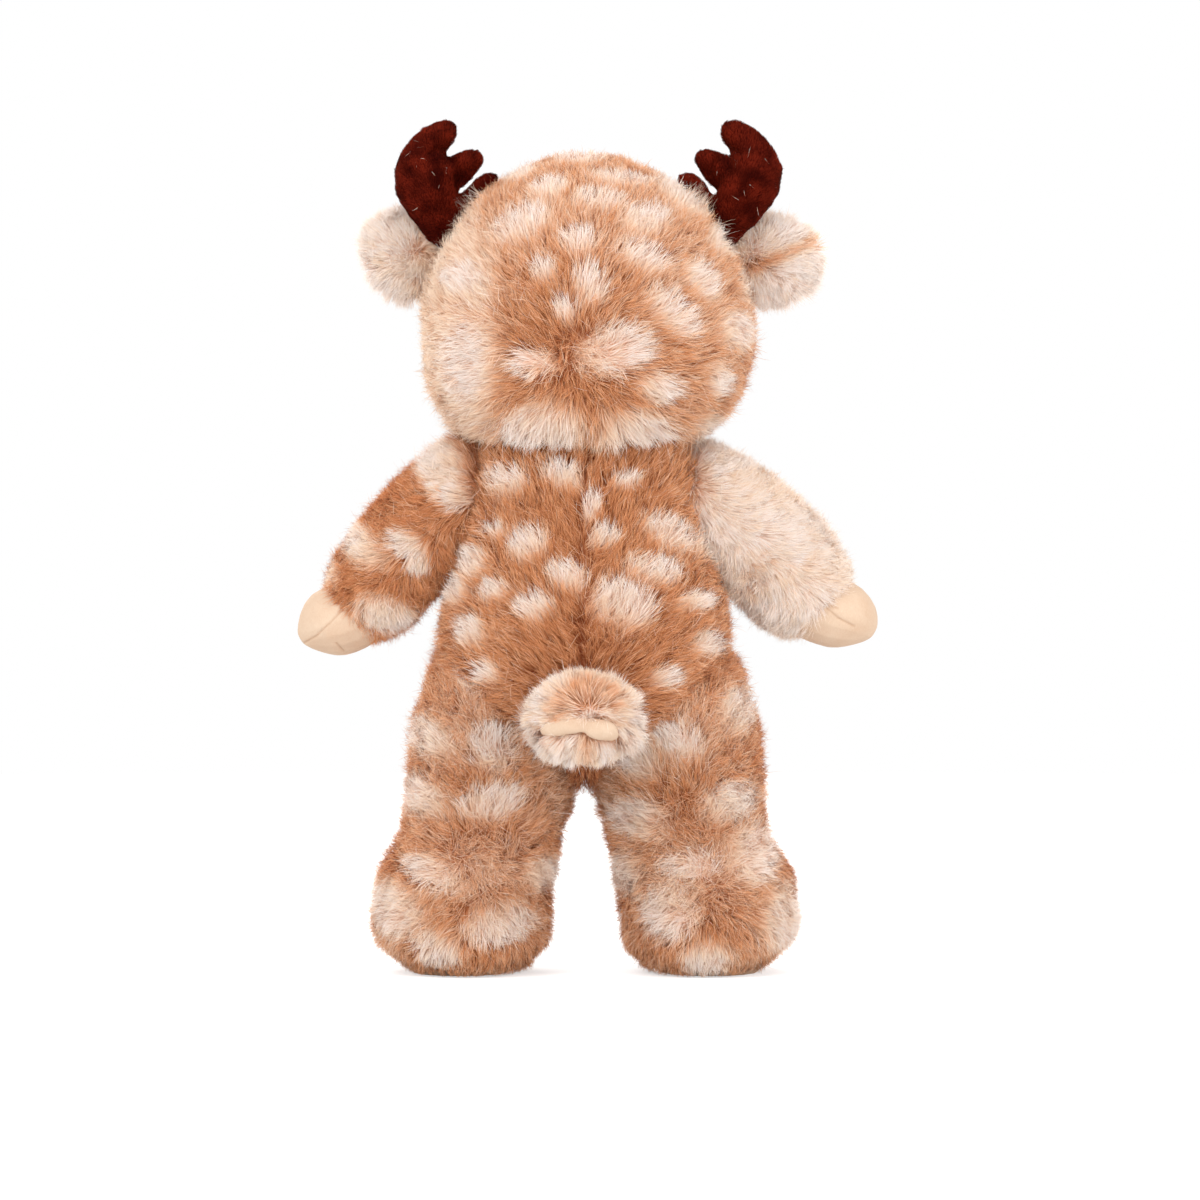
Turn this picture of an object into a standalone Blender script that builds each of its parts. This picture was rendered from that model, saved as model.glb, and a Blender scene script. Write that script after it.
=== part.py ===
"""Stuffed toy deer, standing, about 0.43 m tall to the tips of its antlers.

Metres, +Z up, the face towards -Y, the toy's left at +X. The origin lies on the
floor, under the middle of the toy. Each stuffed piece is a fabric cover with its
filling inside, and the surfaces here are those of the cloth, under the pile.
"""

import math

import bmesh
import bpy
from mathutils import Matrix, Vector
from mathutils.bvhtree import BVHTree

# General fits
CLEARANCE = 0.0003  # between pieces that are sewn or pressed together
FUR_BACKING = 0.0026  # knitted backing of the long fur with the roots of its pile
FILLING_GAP = 0.0007  # between a cover and its filling
VELOUR = 0.0013  # short velour of antlers, hoofs, muzzle and nose
OVERRUN = 0.2  # how far a cutter reaches past what it cuts
MERGE_REACH = 0.00001  # points nearer to a turning axis than this are joined

# Torso, from the crotch to above the neck seam
TORSO_WIDTH = 0.160
TORSO_DEPTH = 0.112
CROTCH_HEIGHT = 0.096
NECK_HEIGHT = 0.268
NECK_TUCK = 0.008  # how far the torso's form runs on past the neck seam
GUSSET_WIDTH = 0.012  # strip between the two leg holes

# Head
HEAD_WIDTH = 0.163
HEAD_DEPTH = 0.144
HEAD_TOP = 0.405
CHIN_TUCK = 0.010  # how far the head's form runs on below the neck seam

# Arms: reach and drop from the shoulder's centre to the cuff
SHOULDER_HEIGHT = 0.236
SHOULDER_HALF_SPAN = 0.046
ARMHOLE_SLOPE_SHARE = 0.36  # how much the armhole's dish opens for each unit of radius
ARM_REACH = 0.064
ARM_DROP = 0.053
ARM_THICKNESS = 0.048
ARM_FORWARD = 0.006
HOOF_LENGTH = 0.033
HOOF_THICKNESS = 0.037

# Legs: the hip's axis runs along X
HIP_RISE = 0.016  # from the crotch up to the hip's axis
HIP_HEIGHT = CROTCH_HEIGHT + HIP_RISE
HIP_RADIUS = 0.044
HIP_FORWARD_LIMIT = math.radians(75)
HIP_BACK_LIMIT = math.radians(25)
HIP_SPARE_ANGLE = math.radians(1)
LEG_HEIGHT = 0.176
LEG_WIDTH = 0.087
FOOT_LENGTH = 0.106
STANCE = 0.061
SOLE_THICKNESS = 0.003

# Ears
EAR_HEIGHT = 0.325  # where the ear's middle line meets the middle of the head
EAR_TILT = math.radians(20)
EAR_FORWARD = 0.010
EAR_STAND_OFF = 0.0004  # room in which the ear's rounded root rocks
EAR_LENGTH = 0.034
EAR_WIDTH = 0.042
EAR_THICKNESS = 0.011
EAR_LINING = 0.0035

# Antlers: the foot is where the palm leaves the head
ANTLER_FOOT_SPAN = 0.067
ANTLER_FOOT_BACK = 0.003
ANTLER_FOOT_HEIGHT = 0.370
ANTLER_HEIGHT = 0.0555
PALM_RADIUS = 0.016
ANTLER_DEPTH_SHARE = 0.74

# Tail
TAIL_RISE = 0.018  # from the crotch up to where the tail's middle line meets the torso's
TAIL_HEIGHT = CROTCH_HEIGHT + TAIL_RISE
TAIL_TILT = math.radians(10)
TAIL_STAND_OFF = 0.0016  # room in which the tail's rounded root rocks
TAIL_LENGTH = 0.035
TAIL_WIDTH = 0.050
TAIL_THICKNESS = 0.038
TAIL_LINING = 0.012

# Face
MUZZLE_HEIGHT = 0.300
MUZZLE_REACH = 0.104
MUZZLE_WIDTH = 0.064
MUZZLE_THICKNESS = 0.046
NOSE_HEIGHT = 0.310
NOSE_WIDTH = 0.020
NOSE_THICKNESS = 0.014
NOSE_DEPTH = 0.011
EYE_HEIGHT = 0.331
EYE_HALF_SPAN = 0.033
EYE_RADIUS = 0.0075
EYE_DOME = 0.0048
EYE_RIM = 0.0009
SHANK_RADIUS = 0.0018
WASHER_RADIUS = 0.0075
WASHER_THICKNESS = 0.0014
SHANK_END = 0.0025  # how far the shank runs on past its washer

# Corners of a cage's ring, which one round of subdivision doubles
WIDE_RING = 10
RING = 8
SMALL_RING = 6
DOME_STEPS = 5  # facets from the top of an eye to its rim


def drawn_in_share(corners):
    """How much of its radius a ring of so many corners keeps when it is subdivided once."""
    return (3 + math.cos(math.tau / corners)) / 4


def new_collection(name):
    collection = bpy.data.collections.new(name)
    bpy.context.scene.collection.children.link(collection)
    return collection


for old in list(bpy.data.objects):
    bpy.data.objects.remove(old)
DEER = new_collection("plush_deer")
CUTTERS = new_collection("cutters")


def material(name, color, roughness):
    made = bpy.data.materials.new(name)
    made.use_nodes = True
    shader = made.node_tree.nodes["Principled BSDF"]
    shader.inputs["Base Color"].default_value = (*color, 1)
    shader.inputs["Roughness"].default_value = roughness
    shader.inputs["Metallic"].default_value = 0
    return made


CARAMEL_FUR = material("caramel_fur", (0.64, 0.33, 0.17), 0.9)
CREAM_FUR = material("cream_fur", (0.84, 0.66, 0.5), 0.9)
CREAM_VELOUR = material("cream_velour", (0.84, 0.66, 0.38), 0.85)
ANTLER_VELOUR = material("antler_velour", (0.15, 0.016, 0.006), 0.8)
FIBREFILL = material("fibrefill", (0.9, 0.9, 0.88), 1.0)
EYE_PLASTIC = material("eye_plastic", (0.012, 0.008, 0.006), 0.12)
NOSE_VELOUR = material("nose_velour", (0.05, 0.02, 0.012), 0.6)
WASHER_PLASTIC = material("washer_plastic", (0.85, 0.85, 0.85), 0.5)


def placed(name, mesh, finish, collection):
    made = bpy.data.objects.new(name, mesh)
    collection.objects.link(made)
    if finish:
        mesh.materials.append(finish)
    return made


def as_cutter(made):
    made.hide_render = True
    made.display_type = "WIRE"
    return made


def boolean(made, tool, operation):
    modifier = made.modifiers.new(f"{operation.lower()} {tool.name}", "BOOLEAN")
    modifier.object = tool
    modifier.operation = operation
    modifier.solver = "EXACT"


def cut(made, *tools):
    for tool in tools:
        boolean(made, tool, "DIFFERENCE")


def swell(made, distance):
    """Moves the whole surface out along its normals, or in where distance is negative."""
    modifier = made.modifiers.new("swell", "DISPLACE")
    modifier.strength = distance
    modifier.mid_level = 0


def soft_form(name, stations, across, corners, finish, collection):
    """A swelling, tapering body through rings set square to a path.

    A station is (centre, half width, half thickness), and across is the direction in
    which the thickness is measured.
    """
    centres = [Vector(centre) for centre, _, _ in stations]
    kept_share = drawn_in_share(corners)
    bm = bmesh.new()
    rings = []
    for index, (_, half_width, half_thickness) in enumerate(stations):
        before = centres[max(index - 1, 0)]
        after = centres[min(index + 1, len(centres) - 1)]
        along = (after - before).normalized()
        thick = (across - along * across.dot(along)).normalized()
        wide = thick.cross(along)
        ring = []
        for corner in range(corners):
            angle = math.tau * corner / corners
            out = wide * (half_width * math.cos(angle)) + thick * (half_thickness * math.sin(angle))
            ring.append(bm.verts.new(centres[index] + out / kept_share))
        rings.append(ring)
    for low, high in zip(rings, rings[1:]):
        for corner in range(corners):
            following = (corner + 1) % corners
            bm.faces.new((low[corner], low[following], high[following], high[corner]))
    for ring, centre in ((rings[0], centres[0]), (rings[-1], centres[-1])):
        middle = bm.verts.new(centre)
        for corner in range(corners):
            bm.faces.new((ring[corner], ring[(corner + 1) % corners], middle))
    bmesh.ops.recalc_face_normals(bm, faces=bm.faces)
    if bm.calc_volume(signed=True) < 0:
        bmesh.ops.reverse_faces(bm, faces=bm.faces)
    mesh = bpy.data.meshes.new(name)
    bm.to_mesh(mesh)
    bm.free()
    mesh.shade_smooth()
    made = placed(name, mesh, finish, collection)
    rounding = made.modifiers.new("rounding", "SUBSURF")
    rounding.levels = 1
    rounding.render_levels = 1
    return made


class Form:
    """One soft shape, from which its cover, its filling and the tools for its neighbours are made."""

    def __init__(self, name, stations, corners=RING, across=Vector((0, 1, 0))):
        self.name = name
        self.stations = stations
        self.across = across
        self.corners = corners
        self.clearing_tool = None

    def body(self, name, finish, collection=DEER):
        return soft_form(name, self.stations, self.across, self.corners, finish, collection)

    def core(self, name, finish, depth, collection=DEER):
        """The room at this depth under the surface, in fewer corners."""
        corners = max(self.corners - 2, SMALL_RING)
        made = soft_form(name, self.stations, self.across, corners, finish, collection)
        swell(made, -depth)
        return made

    def cover(self, wall, finish, *tools):
        made = self.body(self.name, finish)
        cut(made, as_cutter(self.core(self.name + "_hollow", None, wall, CUTTERS)), *tools)
        return made

    def stuffing(self, wall, *tools):
        made = self.core(self.name + "_stuffing", FIBREFILL, wall + FILLING_GAP)
        cut(made, *tools)
        return made

    def clearing(self):
        """The form grown by the clearance, which shapes what is sewn onto it."""
        if self.clearing_tool is None:
            self.clearing_tool = as_cutter(self.body(self.name + "_clearing", None, CUTTERS))
            swell(self.clearing_tool, CLEARANCE)
        return self.clearing_tool

    def seat(self, start, direction):
        """The point and normal where a line from inside leaves the form's surface."""
        outer = self.clearing()
        bpy.context.view_layer.update()
        bm = bmesh.new()
        bm.from_object(outer, bpy.context.evaluated_depsgraph_get())
        tree = BVHTree.FromBMesh(bm)
        bm.free()
        point, normal, _, _ = tree.ray_cast(start, direction)
        return point, normal


def block(name, low, high):
    """A box tool between two corners."""
    bm = bmesh.new()
    bmesh.ops.create_cube(bm, size=1)
    size = Vector(high) - Vector(low)
    middle = (Vector(high) + Vector(low)) / 2
    bmesh.ops.transform(bm, matrix=Matrix.Translation(middle) @ Matrix.Diagonal((*size, 1)), verts=bm.verts)
    mesh = bpy.data.meshes.new(name)
    bm.to_mesh(mesh)
    bm.free()
    return as_cutter(placed(name, mesh, None, CUTTERS))


def rod(name, start, direction, length, radius, far_radius=None, segments=48):
    """A cylinder or cone tool from a point, along a direction."""
    bm = bmesh.new()
    bmesh.ops.create_cone(
        bm,
        cap_ends=True,
        segments=segments,
        radius1=radius,
        radius2=radius if far_radius is None else far_radius,
        depth=length,
    )
    turn = Vector((0, 0, 1)).rotation_difference(Vector(direction)).to_matrix().to_4x4()
    half = Matrix.Translation((0, 0, length / 2))
    bmesh.ops.transform(bm, matrix=Matrix.Translation(start) @ turn @ half, verts=bm.verts)
    mesh = bpy.data.meshes.new(name)
    bm.to_mesh(mesh)
    bm.free()
    return as_cutter(placed(name, mesh, None, CUTTERS))


def slab(name, outline, low_x, high_x):
    """An outline in the YZ plane, as a tool from low_x to high_x."""
    bm = bmesh.new()
    corners = [bm.verts.new((low_x, y, z)) for y, z in outline]
    face = bm.faces.new(corners)
    grown = bmesh.ops.extrude_face_region(bm, geom=[face])
    moved = [item for item in grown["geom"] if isinstance(item, bmesh.types.BMVert)]
    bmesh.ops.translate(bm, verts=moved, vec=(high_x - low_x, 0, 0))
    bmesh.ops.recalc_face_normals(bm, faces=bm.faces)
    mesh = bpy.data.meshes.new(name)
    bm.to_mesh(mesh)
    bm.free()
    return as_cutter(placed(name, mesh, None, CUTTERS))


def turned(name, profile, finish, place, closed=False, steps=16):
    """A body turned about its own Z, from a profile that runs down its outer side."""
    bm = bmesh.new()
    points = [bm.verts.new((radius, 0, height)) for radius, height in profile]
    for upper, lower in zip(points, points[1:]):
        bm.edges.new((upper, lower))
    if closed:
        bm.edges.new((points[-1], points[0]))
    mesh = bpy.data.meshes.new(name)
    bm.to_mesh(mesh)
    bm.free()
    made = placed(name, mesh, finish, DEER)
    screw = made.modifiers.new("turning", "SCREW")
    screw.steps = steps
    screw.render_steps = steps
    screw.use_merge_vertices = True
    screw.merge_threshold = MERGE_REACH
    made.matrix_world = place
    return made


def upright_stations(shares, low, height, width, depth, middle=0.0):
    """Stations up a body that stands about the line x = middle."""
    return [
        (
            (middle * side_share, depth * forward_share, low + height * rise_share),
            width / 2 * width_share,
            depth / 2 * depth_share,
        )
        for rise_share, side_share, width_share, depth_share, forward_share in shares
    ]


# Rise, sideways, width, depth and forward shares of each ring
TORSO_SHARES = (
    (0.00, 0, 0.24, 0.26, 0),
    (0.09, 0, 0.86, 0.84, 0),
    (0.22, 0, 1.02, 1.00, 0),
    (0.40, 0, 0.92, 1.00, 0),
    (0.60, 0, 0.81, 0.88, 0),
    (0.80, 0, 0.74, 0.78, 0),
    (0.93, 0, 0.68, 0.70, 0),
    (1.00, 0, 0.52, 0.64, 0),
)
HEAD_SHARES = (
    (0.00, 0, 0.36, 0.36, 0),
    (0.07, 0, 0.74, 0.74, 0),
    (0.20, 0, 0.96, 0.95, 0),
    (0.38, 0, 1.02, 1.02, 0),
    (0.57, 0, 0.98, 1.01, 0),
    (0.76, 0, 0.83, 0.88, 0),
    (0.92, 0, 0.53, 0.57, 0),
    (1.00, 0, 0.20, 0.21, 0),
)
LEG_SHARES = (
    (-0.03, 0.98, 0.62, 0.68, -0.13),
    (0.04, 0.99, 0.95, 0.97, -0.13),
    (0.15, 1.00, 1.02, 1.01, -0.12),
    (0.28, 0.96, 0.97, 0.86, -0.07),
    (0.42, 0.83, 0.89, 0.75, -0.01),
    (0.58, 0.75, 0.94, 0.77, 0),
    (0.76, 0.70, 0.98, 0.81, 0),
    (1.00, 0.62, 0.80, 0.66, 0),
)
# Out, down and thickness shares along an arm, then along a hoof
ARM_SHARES = (
    (-0.16, -0.34, 0.62),
    (0.09, -0.14, 0.97),
    (0.37, 0.13, 1.00),
    (0.66, 0.43, 0.97),
    (0.86, 0.73, 0.90),
    (1.00, 1.00, 0.83),
    (1.09, 1.13, 0.42),
)
HOOF_SHARES = (
    (-0.25, -0.09, 0.80),
    (0.05, 0.09, 0.97),
    (0.33, 0.20, 1.00),
    (0.61, 0.28, 0.96),
    (0.84, 0.41, 0.60),
    (0.98, 0.50, 0.20),
)
# Length, width and thickness shares from a root to its tip
EAR_SHARES = (
    (0.00, 0.40, 0.34),
    (0.14, 0.76, 0.86),
    (0.50, 1.03, 1.03),
    (0.83, 0.76, 0.86),
    (1.00, 0.30, 0.36),
)
TAIL_SHARES = (
    (0.00, 0.30, 0.18),
    (0.14, 0.66, 0.50),
    (0.50, 1.03, 1.03),
    (0.83, 0.78, 0.80),
    (1.00, 0.28, 0.28),
)
MUZZLE_SHARES = (
    (0.43, 0.84, 0.80),
    (0.68, 1.02, 1.00),
    (0.88, 0.88, 0.86),
    (1.00, 0.36, 0.36),
)
# Out, up and radius shares along an antler's palm and its two lower tines
PALM_SHARES = (
    (-0.10, -0.14, 0.58),
    (0.08, 0.10, 0.74),
    (0.22, 0.43, 1.12),
    (0.23, 0.66, 0.72),
    (0.12, 0.84, 0.49),
    (-0.01, 0.885, 0.43),
    (-0.06, 0.88, 0.20),
)
MIDDLE_TINE_SHARES = (
    (0.12, 0.48, 0.43),
    (-0.10, 0.58, 0.40),
    (-0.22, 0.635, 0.37),
    (-0.28, 0.66, 0.16),
)
LOWER_TINE_SHARES = (
    (0.04, 0.21, 0.40),
    (-0.20, 0.36, 0.34),
    (-0.36, 0.445, 0.32),
    (-0.42, 0.475, 0.14),
)


def torso_and_head_forms():
    torso = Form(
        "torso",
        upright_stations(
            TORSO_SHARES,
            CROTCH_HEIGHT,
            NECK_HEIGHT + NECK_TUCK - CROTCH_HEIGHT,
            TORSO_WIDTH,
            TORSO_DEPTH,
        ),
        corners=WIDE_RING,
    )
    head_low = NECK_HEIGHT - CHIN_TUCK
    head = Form(
        "head",
        upright_stations(HEAD_SHARES, head_low, HEAD_TOP - head_low, HEAD_WIDTH, HEAD_DEPTH),
        corners=WIDE_RING,
    )
    return torso, head


TORSO, HEAD = torso_and_head_forms()


def hip_outline(radius):
    """What a leg of this radius sweeps about the hip's axis, from its back limit to its front one."""
    front = HIP_FORWARD_LIMIT + HIP_SPARE_ANGLE
    back = HIP_BACK_LIMIT + HIP_SPARE_ANGLE
    first = -(math.pi / 2 - back)
    last = math.pi / 2 - front
    steps = 16
    points = [
        (
            radius * math.cos(back) + OVERRUN * math.sin(back),
            HIP_HEIGHT + radius * math.sin(back) - OVERRUN * math.cos(back),
        )
    ]
    for step in range(steps + 1):
        angle = first + (last - first) * step / steps
        points.append((-radius * math.sin(angle), HIP_HEIGHT + radius * math.cos(angle)))
    points.append(
        (
            -radius * math.cos(front) - OVERRUN * math.sin(front),
            HIP_HEIGHT + radius * math.sin(front) - OVERRUN * math.cos(front),
        )
    )
    return points


def hip_envelope_outline(radius):
    """The room of a leg at rest: round over the hip's axis, and free below it."""
    steps = 32
    points = [(OVERRUN, HIP_HEIGHT - OVERRUN), (OVERRUN, HIP_HEIGHT)]
    for step in range(steps + 1):
        angle = math.pi * step / steps
        points.append((radius * math.cos(angle), HIP_HEIGHT + radius * math.sin(angle)))
    points += [(-OVERRUN, HIP_HEIGHT), (-OVERRUN, HIP_HEIGHT - OVERRUN)]
    return points


def cone_about_shoulder(name, side, stand_off):
    """The room outside an armhole: a cone about the shoulder's axis that opens outwards."""
    apex = side * (SHOULDER_HALF_SPAN + stand_off)
    return rod(
        name,
        (apex, 0, SHOULDER_HEIGHT),
        (side, 0, 0),
        OVERRUN,
        0.0,
        OVERRUN / ARMHOLE_SLOPE_SHARE,
        segments=64,
    )


def make_torso(sides):
    above_neck = block(
        "above_neck",
        (-OVERRUN, -OVERRUN, NECK_HEIGHT - CLEARANCE / 2),
        (OVERRUN, OVERRUN, NECK_HEIGHT + OVERRUN),
    )
    tools = [above_neck]
    hole = hip_outline(HIP_RADIUS + CLEARANCE)
    inner = GUSSET_WIDTH / 2
    for label, side in sides:
        tools.append(cone_about_shoulder(f"{label}_armhole", side, 0))
        tools.append(slab(f"{label}_leg_hole", hole, side * inner, side * (inner + OVERRUN)))
    TORSO.cover(FUR_BACKING, CARAMEL_FUR, *tools)
    TORSO.stuffing(FUR_BACKING, *tools)


def make_arm(label, side, fur):
    def stations(shares, start, reach, drop, thickness, low_forward, high_forward):
        found = []
        for out_share, down_share, thick_share in shares:
            forward = low_forward + (high_forward - low_forward) * max(out_share, 0)
            centre = (side * (start[0] + reach * out_share), -forward, start[1] - drop * down_share)
            found.append((centre, thickness / 2 * thick_share, thickness / 2 * thick_share))
        return found

    shoulder = (SHOULDER_HALF_SPAN, SHOULDER_HEIGHT)
    cuff = (SHOULDER_HALF_SPAN + ARM_REACH, SHOULDER_HEIGHT - ARM_DROP)
    arm = Form(
        f"{label}_arm",
        stations(ARM_SHARES, shoulder, ARM_REACH, ARM_DROP, ARM_THICKNESS, 0, ARM_FORWARD),
    )
    hoof = Form(
        f"{label}_hoof",
        stations(HOOF_SHARES, cuff, HOOF_LENGTH, HOOF_LENGTH, HOOF_THICKNESS, ARM_FORWARD, ARM_FORWARD),
    )
    room = cone_about_shoulder(f"{label}_arm_room", side, CLEARANCE)
    for made in (arm.cover(FUR_BACKING, fur), arm.stuffing(FUR_BACKING)):
        boolean(made, room, "INTERSECT")
    hoof.cover(VELOUR, CREAM_VELOUR, arm.clearing())
    hoof.stuffing(VELOUR, arm.clearing())


def make_leg(label, side):
    leg = Form(
        f"{label}_leg",
        upright_stations(LEG_SHARES, 0, LEG_HEIGHT, LEG_WIDTH, FOOT_LENGTH, side * STANCE),
    )
    inner = GUSSET_WIDTH / 2 + CLEARANCE
    room = slab(
        f"{label}_leg_room",
        hip_envelope_outline(HIP_RADIUS),
        side * inner,
        side * (inner + OVERRUN),
    )
    below_sole = block(
        f"{label}_below_sole",
        (-OVERRUN, -OVERRUN, -OVERRUN),
        (OVERRUN, OVERRUN, SOLE_THICKNESS + CLEARANCE),
    )
    for made in (leg.cover(FUR_BACKING, CARAMEL_FUR), leg.stuffing(FUR_BACKING)):
        boolean(made, room, "INTERSECT")
        cut(made, below_sole)
    sole_room = block(
        f"{label}_sole_room",
        (-OVERRUN, -OVERRUN, 0),
        (OVERRUN, OVERRUN, SOLE_THICKNESS),
    )
    sole = leg.body(f"{label}_sole", CREAM_VELOUR)
    boolean(sole, sole_room, "INTERSECT")


def rooted_stations(shares, root, along, length, width, thickness):
    return [
        (root + along * (length * length_share), width / 2 * width_share, thickness / 2 * thick_share)
        for length_share, width_share, thick_share in shares
    ]


def make_ear(label, side):
    along = Vector((side * math.cos(EAR_TILT), 0, math.sin(EAR_TILT)))
    root = HEAD.seat(Vector((0, -EAR_FORWARD, EAR_HEIGHT)), along)[0] + along * EAR_STAND_OFF
    ear = Form(
        f"{label}_ear",
        rooted_stations(EAR_SHARES, root, along, EAR_LENGTH, EAR_WIDTH, EAR_THICKNESS),
        corners=SMALL_RING,
    )
    face = EAR_LINING - EAR_THICKNESS / 2 - EAR_FORWARD
    behind = block(f"{label}_ear_behind", (-OVERRUN * 2, face, 0), (OVERRUN * 2, OVERRUN, OVERRUN * 3))
    ahead = block(
        f"{label}_ear_ahead",
        (-OVERRUN * 2, -OVERRUN, 0),
        (OVERRUN * 2, face + CLEARANCE, OVERRUN * 3),
    )
    cut(ear.body(f"{label}_ear", CREAM_FUR), ahead)
    cut(ear.body(f"{label}_ear_lining", CREAM_VELOUR), behind)


def make_antler(label, side):
    def stations(shares):
        found = []
        for out_share, up_share, radius_share in shares:
            centre = (
                side * (ANTLER_FOOT_SPAN + ANTLER_HEIGHT * out_share),
                ANTLER_FOOT_BACK,
                ANTLER_FOOT_HEIGHT + ANTLER_HEIGHT * up_share,
            )
            radius = PALM_RADIUS * radius_share
            found.append((centre, radius, radius * ANTLER_DEPTH_SHARE))
        return found

    antler = Form(f"{label}_antler", stations(PALM_SHARES), corners=SMALL_RING)
    made = antler.body(antler.name, ANTLER_VELOUR)
    for tine, shares in (("middle", MIDDLE_TINE_SHARES), ("lower", LOWER_TINE_SHARES)):
        branch = Form(f"{antler.name}_{tine}_tine", stations(shares), corners=SMALL_RING)
        boolean(made, as_cutter(branch.body(branch.name, None, CUTTERS)), "UNION")
    cut(made, as_cutter(antler.core(f"{antler.name}_hollow", None, VELOUR, CUTTERS)), HEAD.clearing())
    antler.stuffing(VELOUR, HEAD.clearing())


def make_tail():
    along = Vector((0, math.cos(TAIL_TILT), math.sin(TAIL_TILT)))
    up = Vector((0, -math.sin(TAIL_TILT), math.cos(TAIL_TILT)))
    root = TORSO.seat(Vector((0, 0, TAIL_HEIGHT)), along)[0] + along * TAIL_STAND_OFF
    tail = Form(
        "tail",
        rooted_stations(TAIL_SHARES, root, along, TAIL_LENGTH, TAIL_WIDTH, TAIL_THICKNESS),
        across=up,
    )
    turn = Matrix.Rotation(TAIL_TILT, 4, "X")
    seam = TAIL_LINING - TAIL_THICKNESS / 2
    below = block("tail_below", (-OVERRUN, -OVERRUN, -OVERRUN), (OVERRUN, OVERRUN, seam))
    above = block("tail_above", (-OVERRUN, -OVERRUN, seam - CLEARANCE), (OVERRUN, OVERRUN, OVERRUN))
    for tool in (below, above):
        tool.matrix_world = Matrix.Translation(root) @ turn
    tail.cover(FUR_BACKING, CARAMEL_FUR, below)
    tail.stuffing(FUR_BACKING, below)
    cut(tail.body("tail_lining", CREAM_VELOUR), above)


def make_face(sides):
    """The muzzle and nose, then the eyes, whose holes come back as tools for the head."""
    muzzle = Form(
        "muzzle",
        [
            (
                (0, -MUZZLE_REACH * reach_share, MUZZLE_HEIGHT),
                MUZZLE_WIDTH / 2 * width_share,
                MUZZLE_THICKNESS / 2 * thick_share,
            )
            for reach_share, width_share, thick_share in MUZZLE_SHARES
        ],
        across=Vector((0, 0, 1)),
    )
    muzzle.cover(VELOUR, CREAM_VELOUR, HEAD.clearing())
    muzzle.stuffing(VELOUR, HEAD.clearing())

    front = Vector((0, -1, 0))
    seat, _ = muzzle.seat(Vector((0, -HEAD_DEPTH / 2, NOSE_HEIGHT)), front)
    bm = bmesh.new()
    bmesh.ops.create_uvsphere(bm, u_segments=14, v_segments=8, radius=1)
    size = Matrix.Diagonal((NOSE_WIDTH / 2, NOSE_DEPTH / 2, NOSE_THICKNESS / 2, 1))
    bmesh.ops.transform(bm, matrix=Matrix.Translation(seat) @ size, verts=bm.verts)
    mesh = bpy.data.meshes.new("nose")
    bm.to_mesh(mesh)
    bm.free()
    mesh.shade_smooth()
    cut(placed("nose", mesh, NOSE_VELOUR, DEER), muzzle.clearing())

    cover_tools = []
    filling_tools = []
    floor = -(CLEARANCE + FUR_BACKING)
    washer_front = floor - CLEARANCE
    washer_back = washer_front - WASHER_THICKNESS
    shank_tip = washer_back - SHANK_END
    bore = SHANK_RADIUS + CLEARANCE
    for label, side in sides:
        seat, normal = HEAD.seat(Vector((side * EYE_HALF_SPAN, 0, EYE_HEIGHT)), front)
        turn = Vector((0, 0, 1)).rotation_difference(normal).to_matrix().to_4x4()
        place = Matrix.Translation(seat) @ turn
        dome = []
        for step in range(DOME_STEPS + 1):
            angle = math.pi / 2 * step / DOME_STEPS
            dome.append((EYE_RADIUS * math.sin(angle), EYE_RIM + EYE_DOME * math.cos(angle)))
        eye_profile = dome + [(EYE_RADIUS, 0), (SHANK_RADIUS, 0), (SHANK_RADIUS, shank_tip), (0, shank_tip)]
        turned(f"{label}_eye", eye_profile, EYE_PLASTIC, place)
        ring = [
            (bore, washer_front),
            (WASHER_RADIUS, washer_front),
            (WASHER_RADIUS, washer_back),
            (bore, washer_back),
        ]
        turned(f"{label}_eye_washer", ring, WASHER_PLASTIC, place, closed=True)
        start = seat + normal * EYE_DOME
        hole = rod(f"{label}_eye_hole", start, -normal, EYE_DOME * 4, bore, segments=16)
        pocket = rod(
            f"{label}_washer_pocket",
            seat + normal * floor,
            -normal,
            floor - shank_tip + CLEARANCE,
            WASHER_RADIUS + CLEARANCE,
            segments=24,
        )
        cover_tools += [hole, pocket]
        filling_tools.append(pocket)
    return cover_tools, filling_tools


def make_head(sides):
    below_neck = block(
        "below_neck",
        (-OVERRUN, -OVERRUN, NECK_HEIGHT - OVERRUN),
        (OVERRUN, OVERRUN, NECK_HEIGHT + CLEARANCE / 2),
    )
    cover_tools, filling_tools = make_face(sides)
    HEAD.cover(FUR_BACKING, CARAMEL_FUR, below_neck, *cover_tools)
    HEAD.stuffing(FUR_BACKING, below_neck, *filling_tools)


def centre_front_to_back():
    """Moves the whole toy so that its nose and its tail reach as far from the origin."""
    bpy.context.view_layer.update()
    graph = bpy.context.evaluated_depsgraph_get()
    reaches = [
        corner[1]
        for name in ("nose", "tail", "tail_lining")
        for corner in bpy.data.objects[name].evaluated_get(graph).bound_box
    ]
    middle = bpy.data.objects.new("middle", None)
    DEER.objects.link(middle)
    for piece in list(DEER.objects) + list(CUTTERS.objects):
        if piece != middle:
            piece.parent = middle
    middle.location.y = -(min(reaches) + max(reaches)) / 2
    print(f"The toy's axis stands at y = {middle.location.y:.5f} m")


SIDES = (("left", 1), ("right", -1))
ARM_FURS = {"left": CARAMEL_FUR, "right": CREAM_FUR}
make_torso(SIDES)
make_head(SIDES)
make_tail()
for side_label, side_sign in SIDES:
    make_arm(side_label, side_sign, ARM_FURS[side_label])
    make_leg(side_label, side_sign)
    make_ear(side_label, side_sign)
    make_antler(side_label, side_sign)
centre_front_to_back()
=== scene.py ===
"""The looks of a stuffed toy deer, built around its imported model.

Metres, +Z up, the face towards -Y and the toy's left at +X. The photograph looks at
its back, so the camera stands at +Y.
"""

import math

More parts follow.
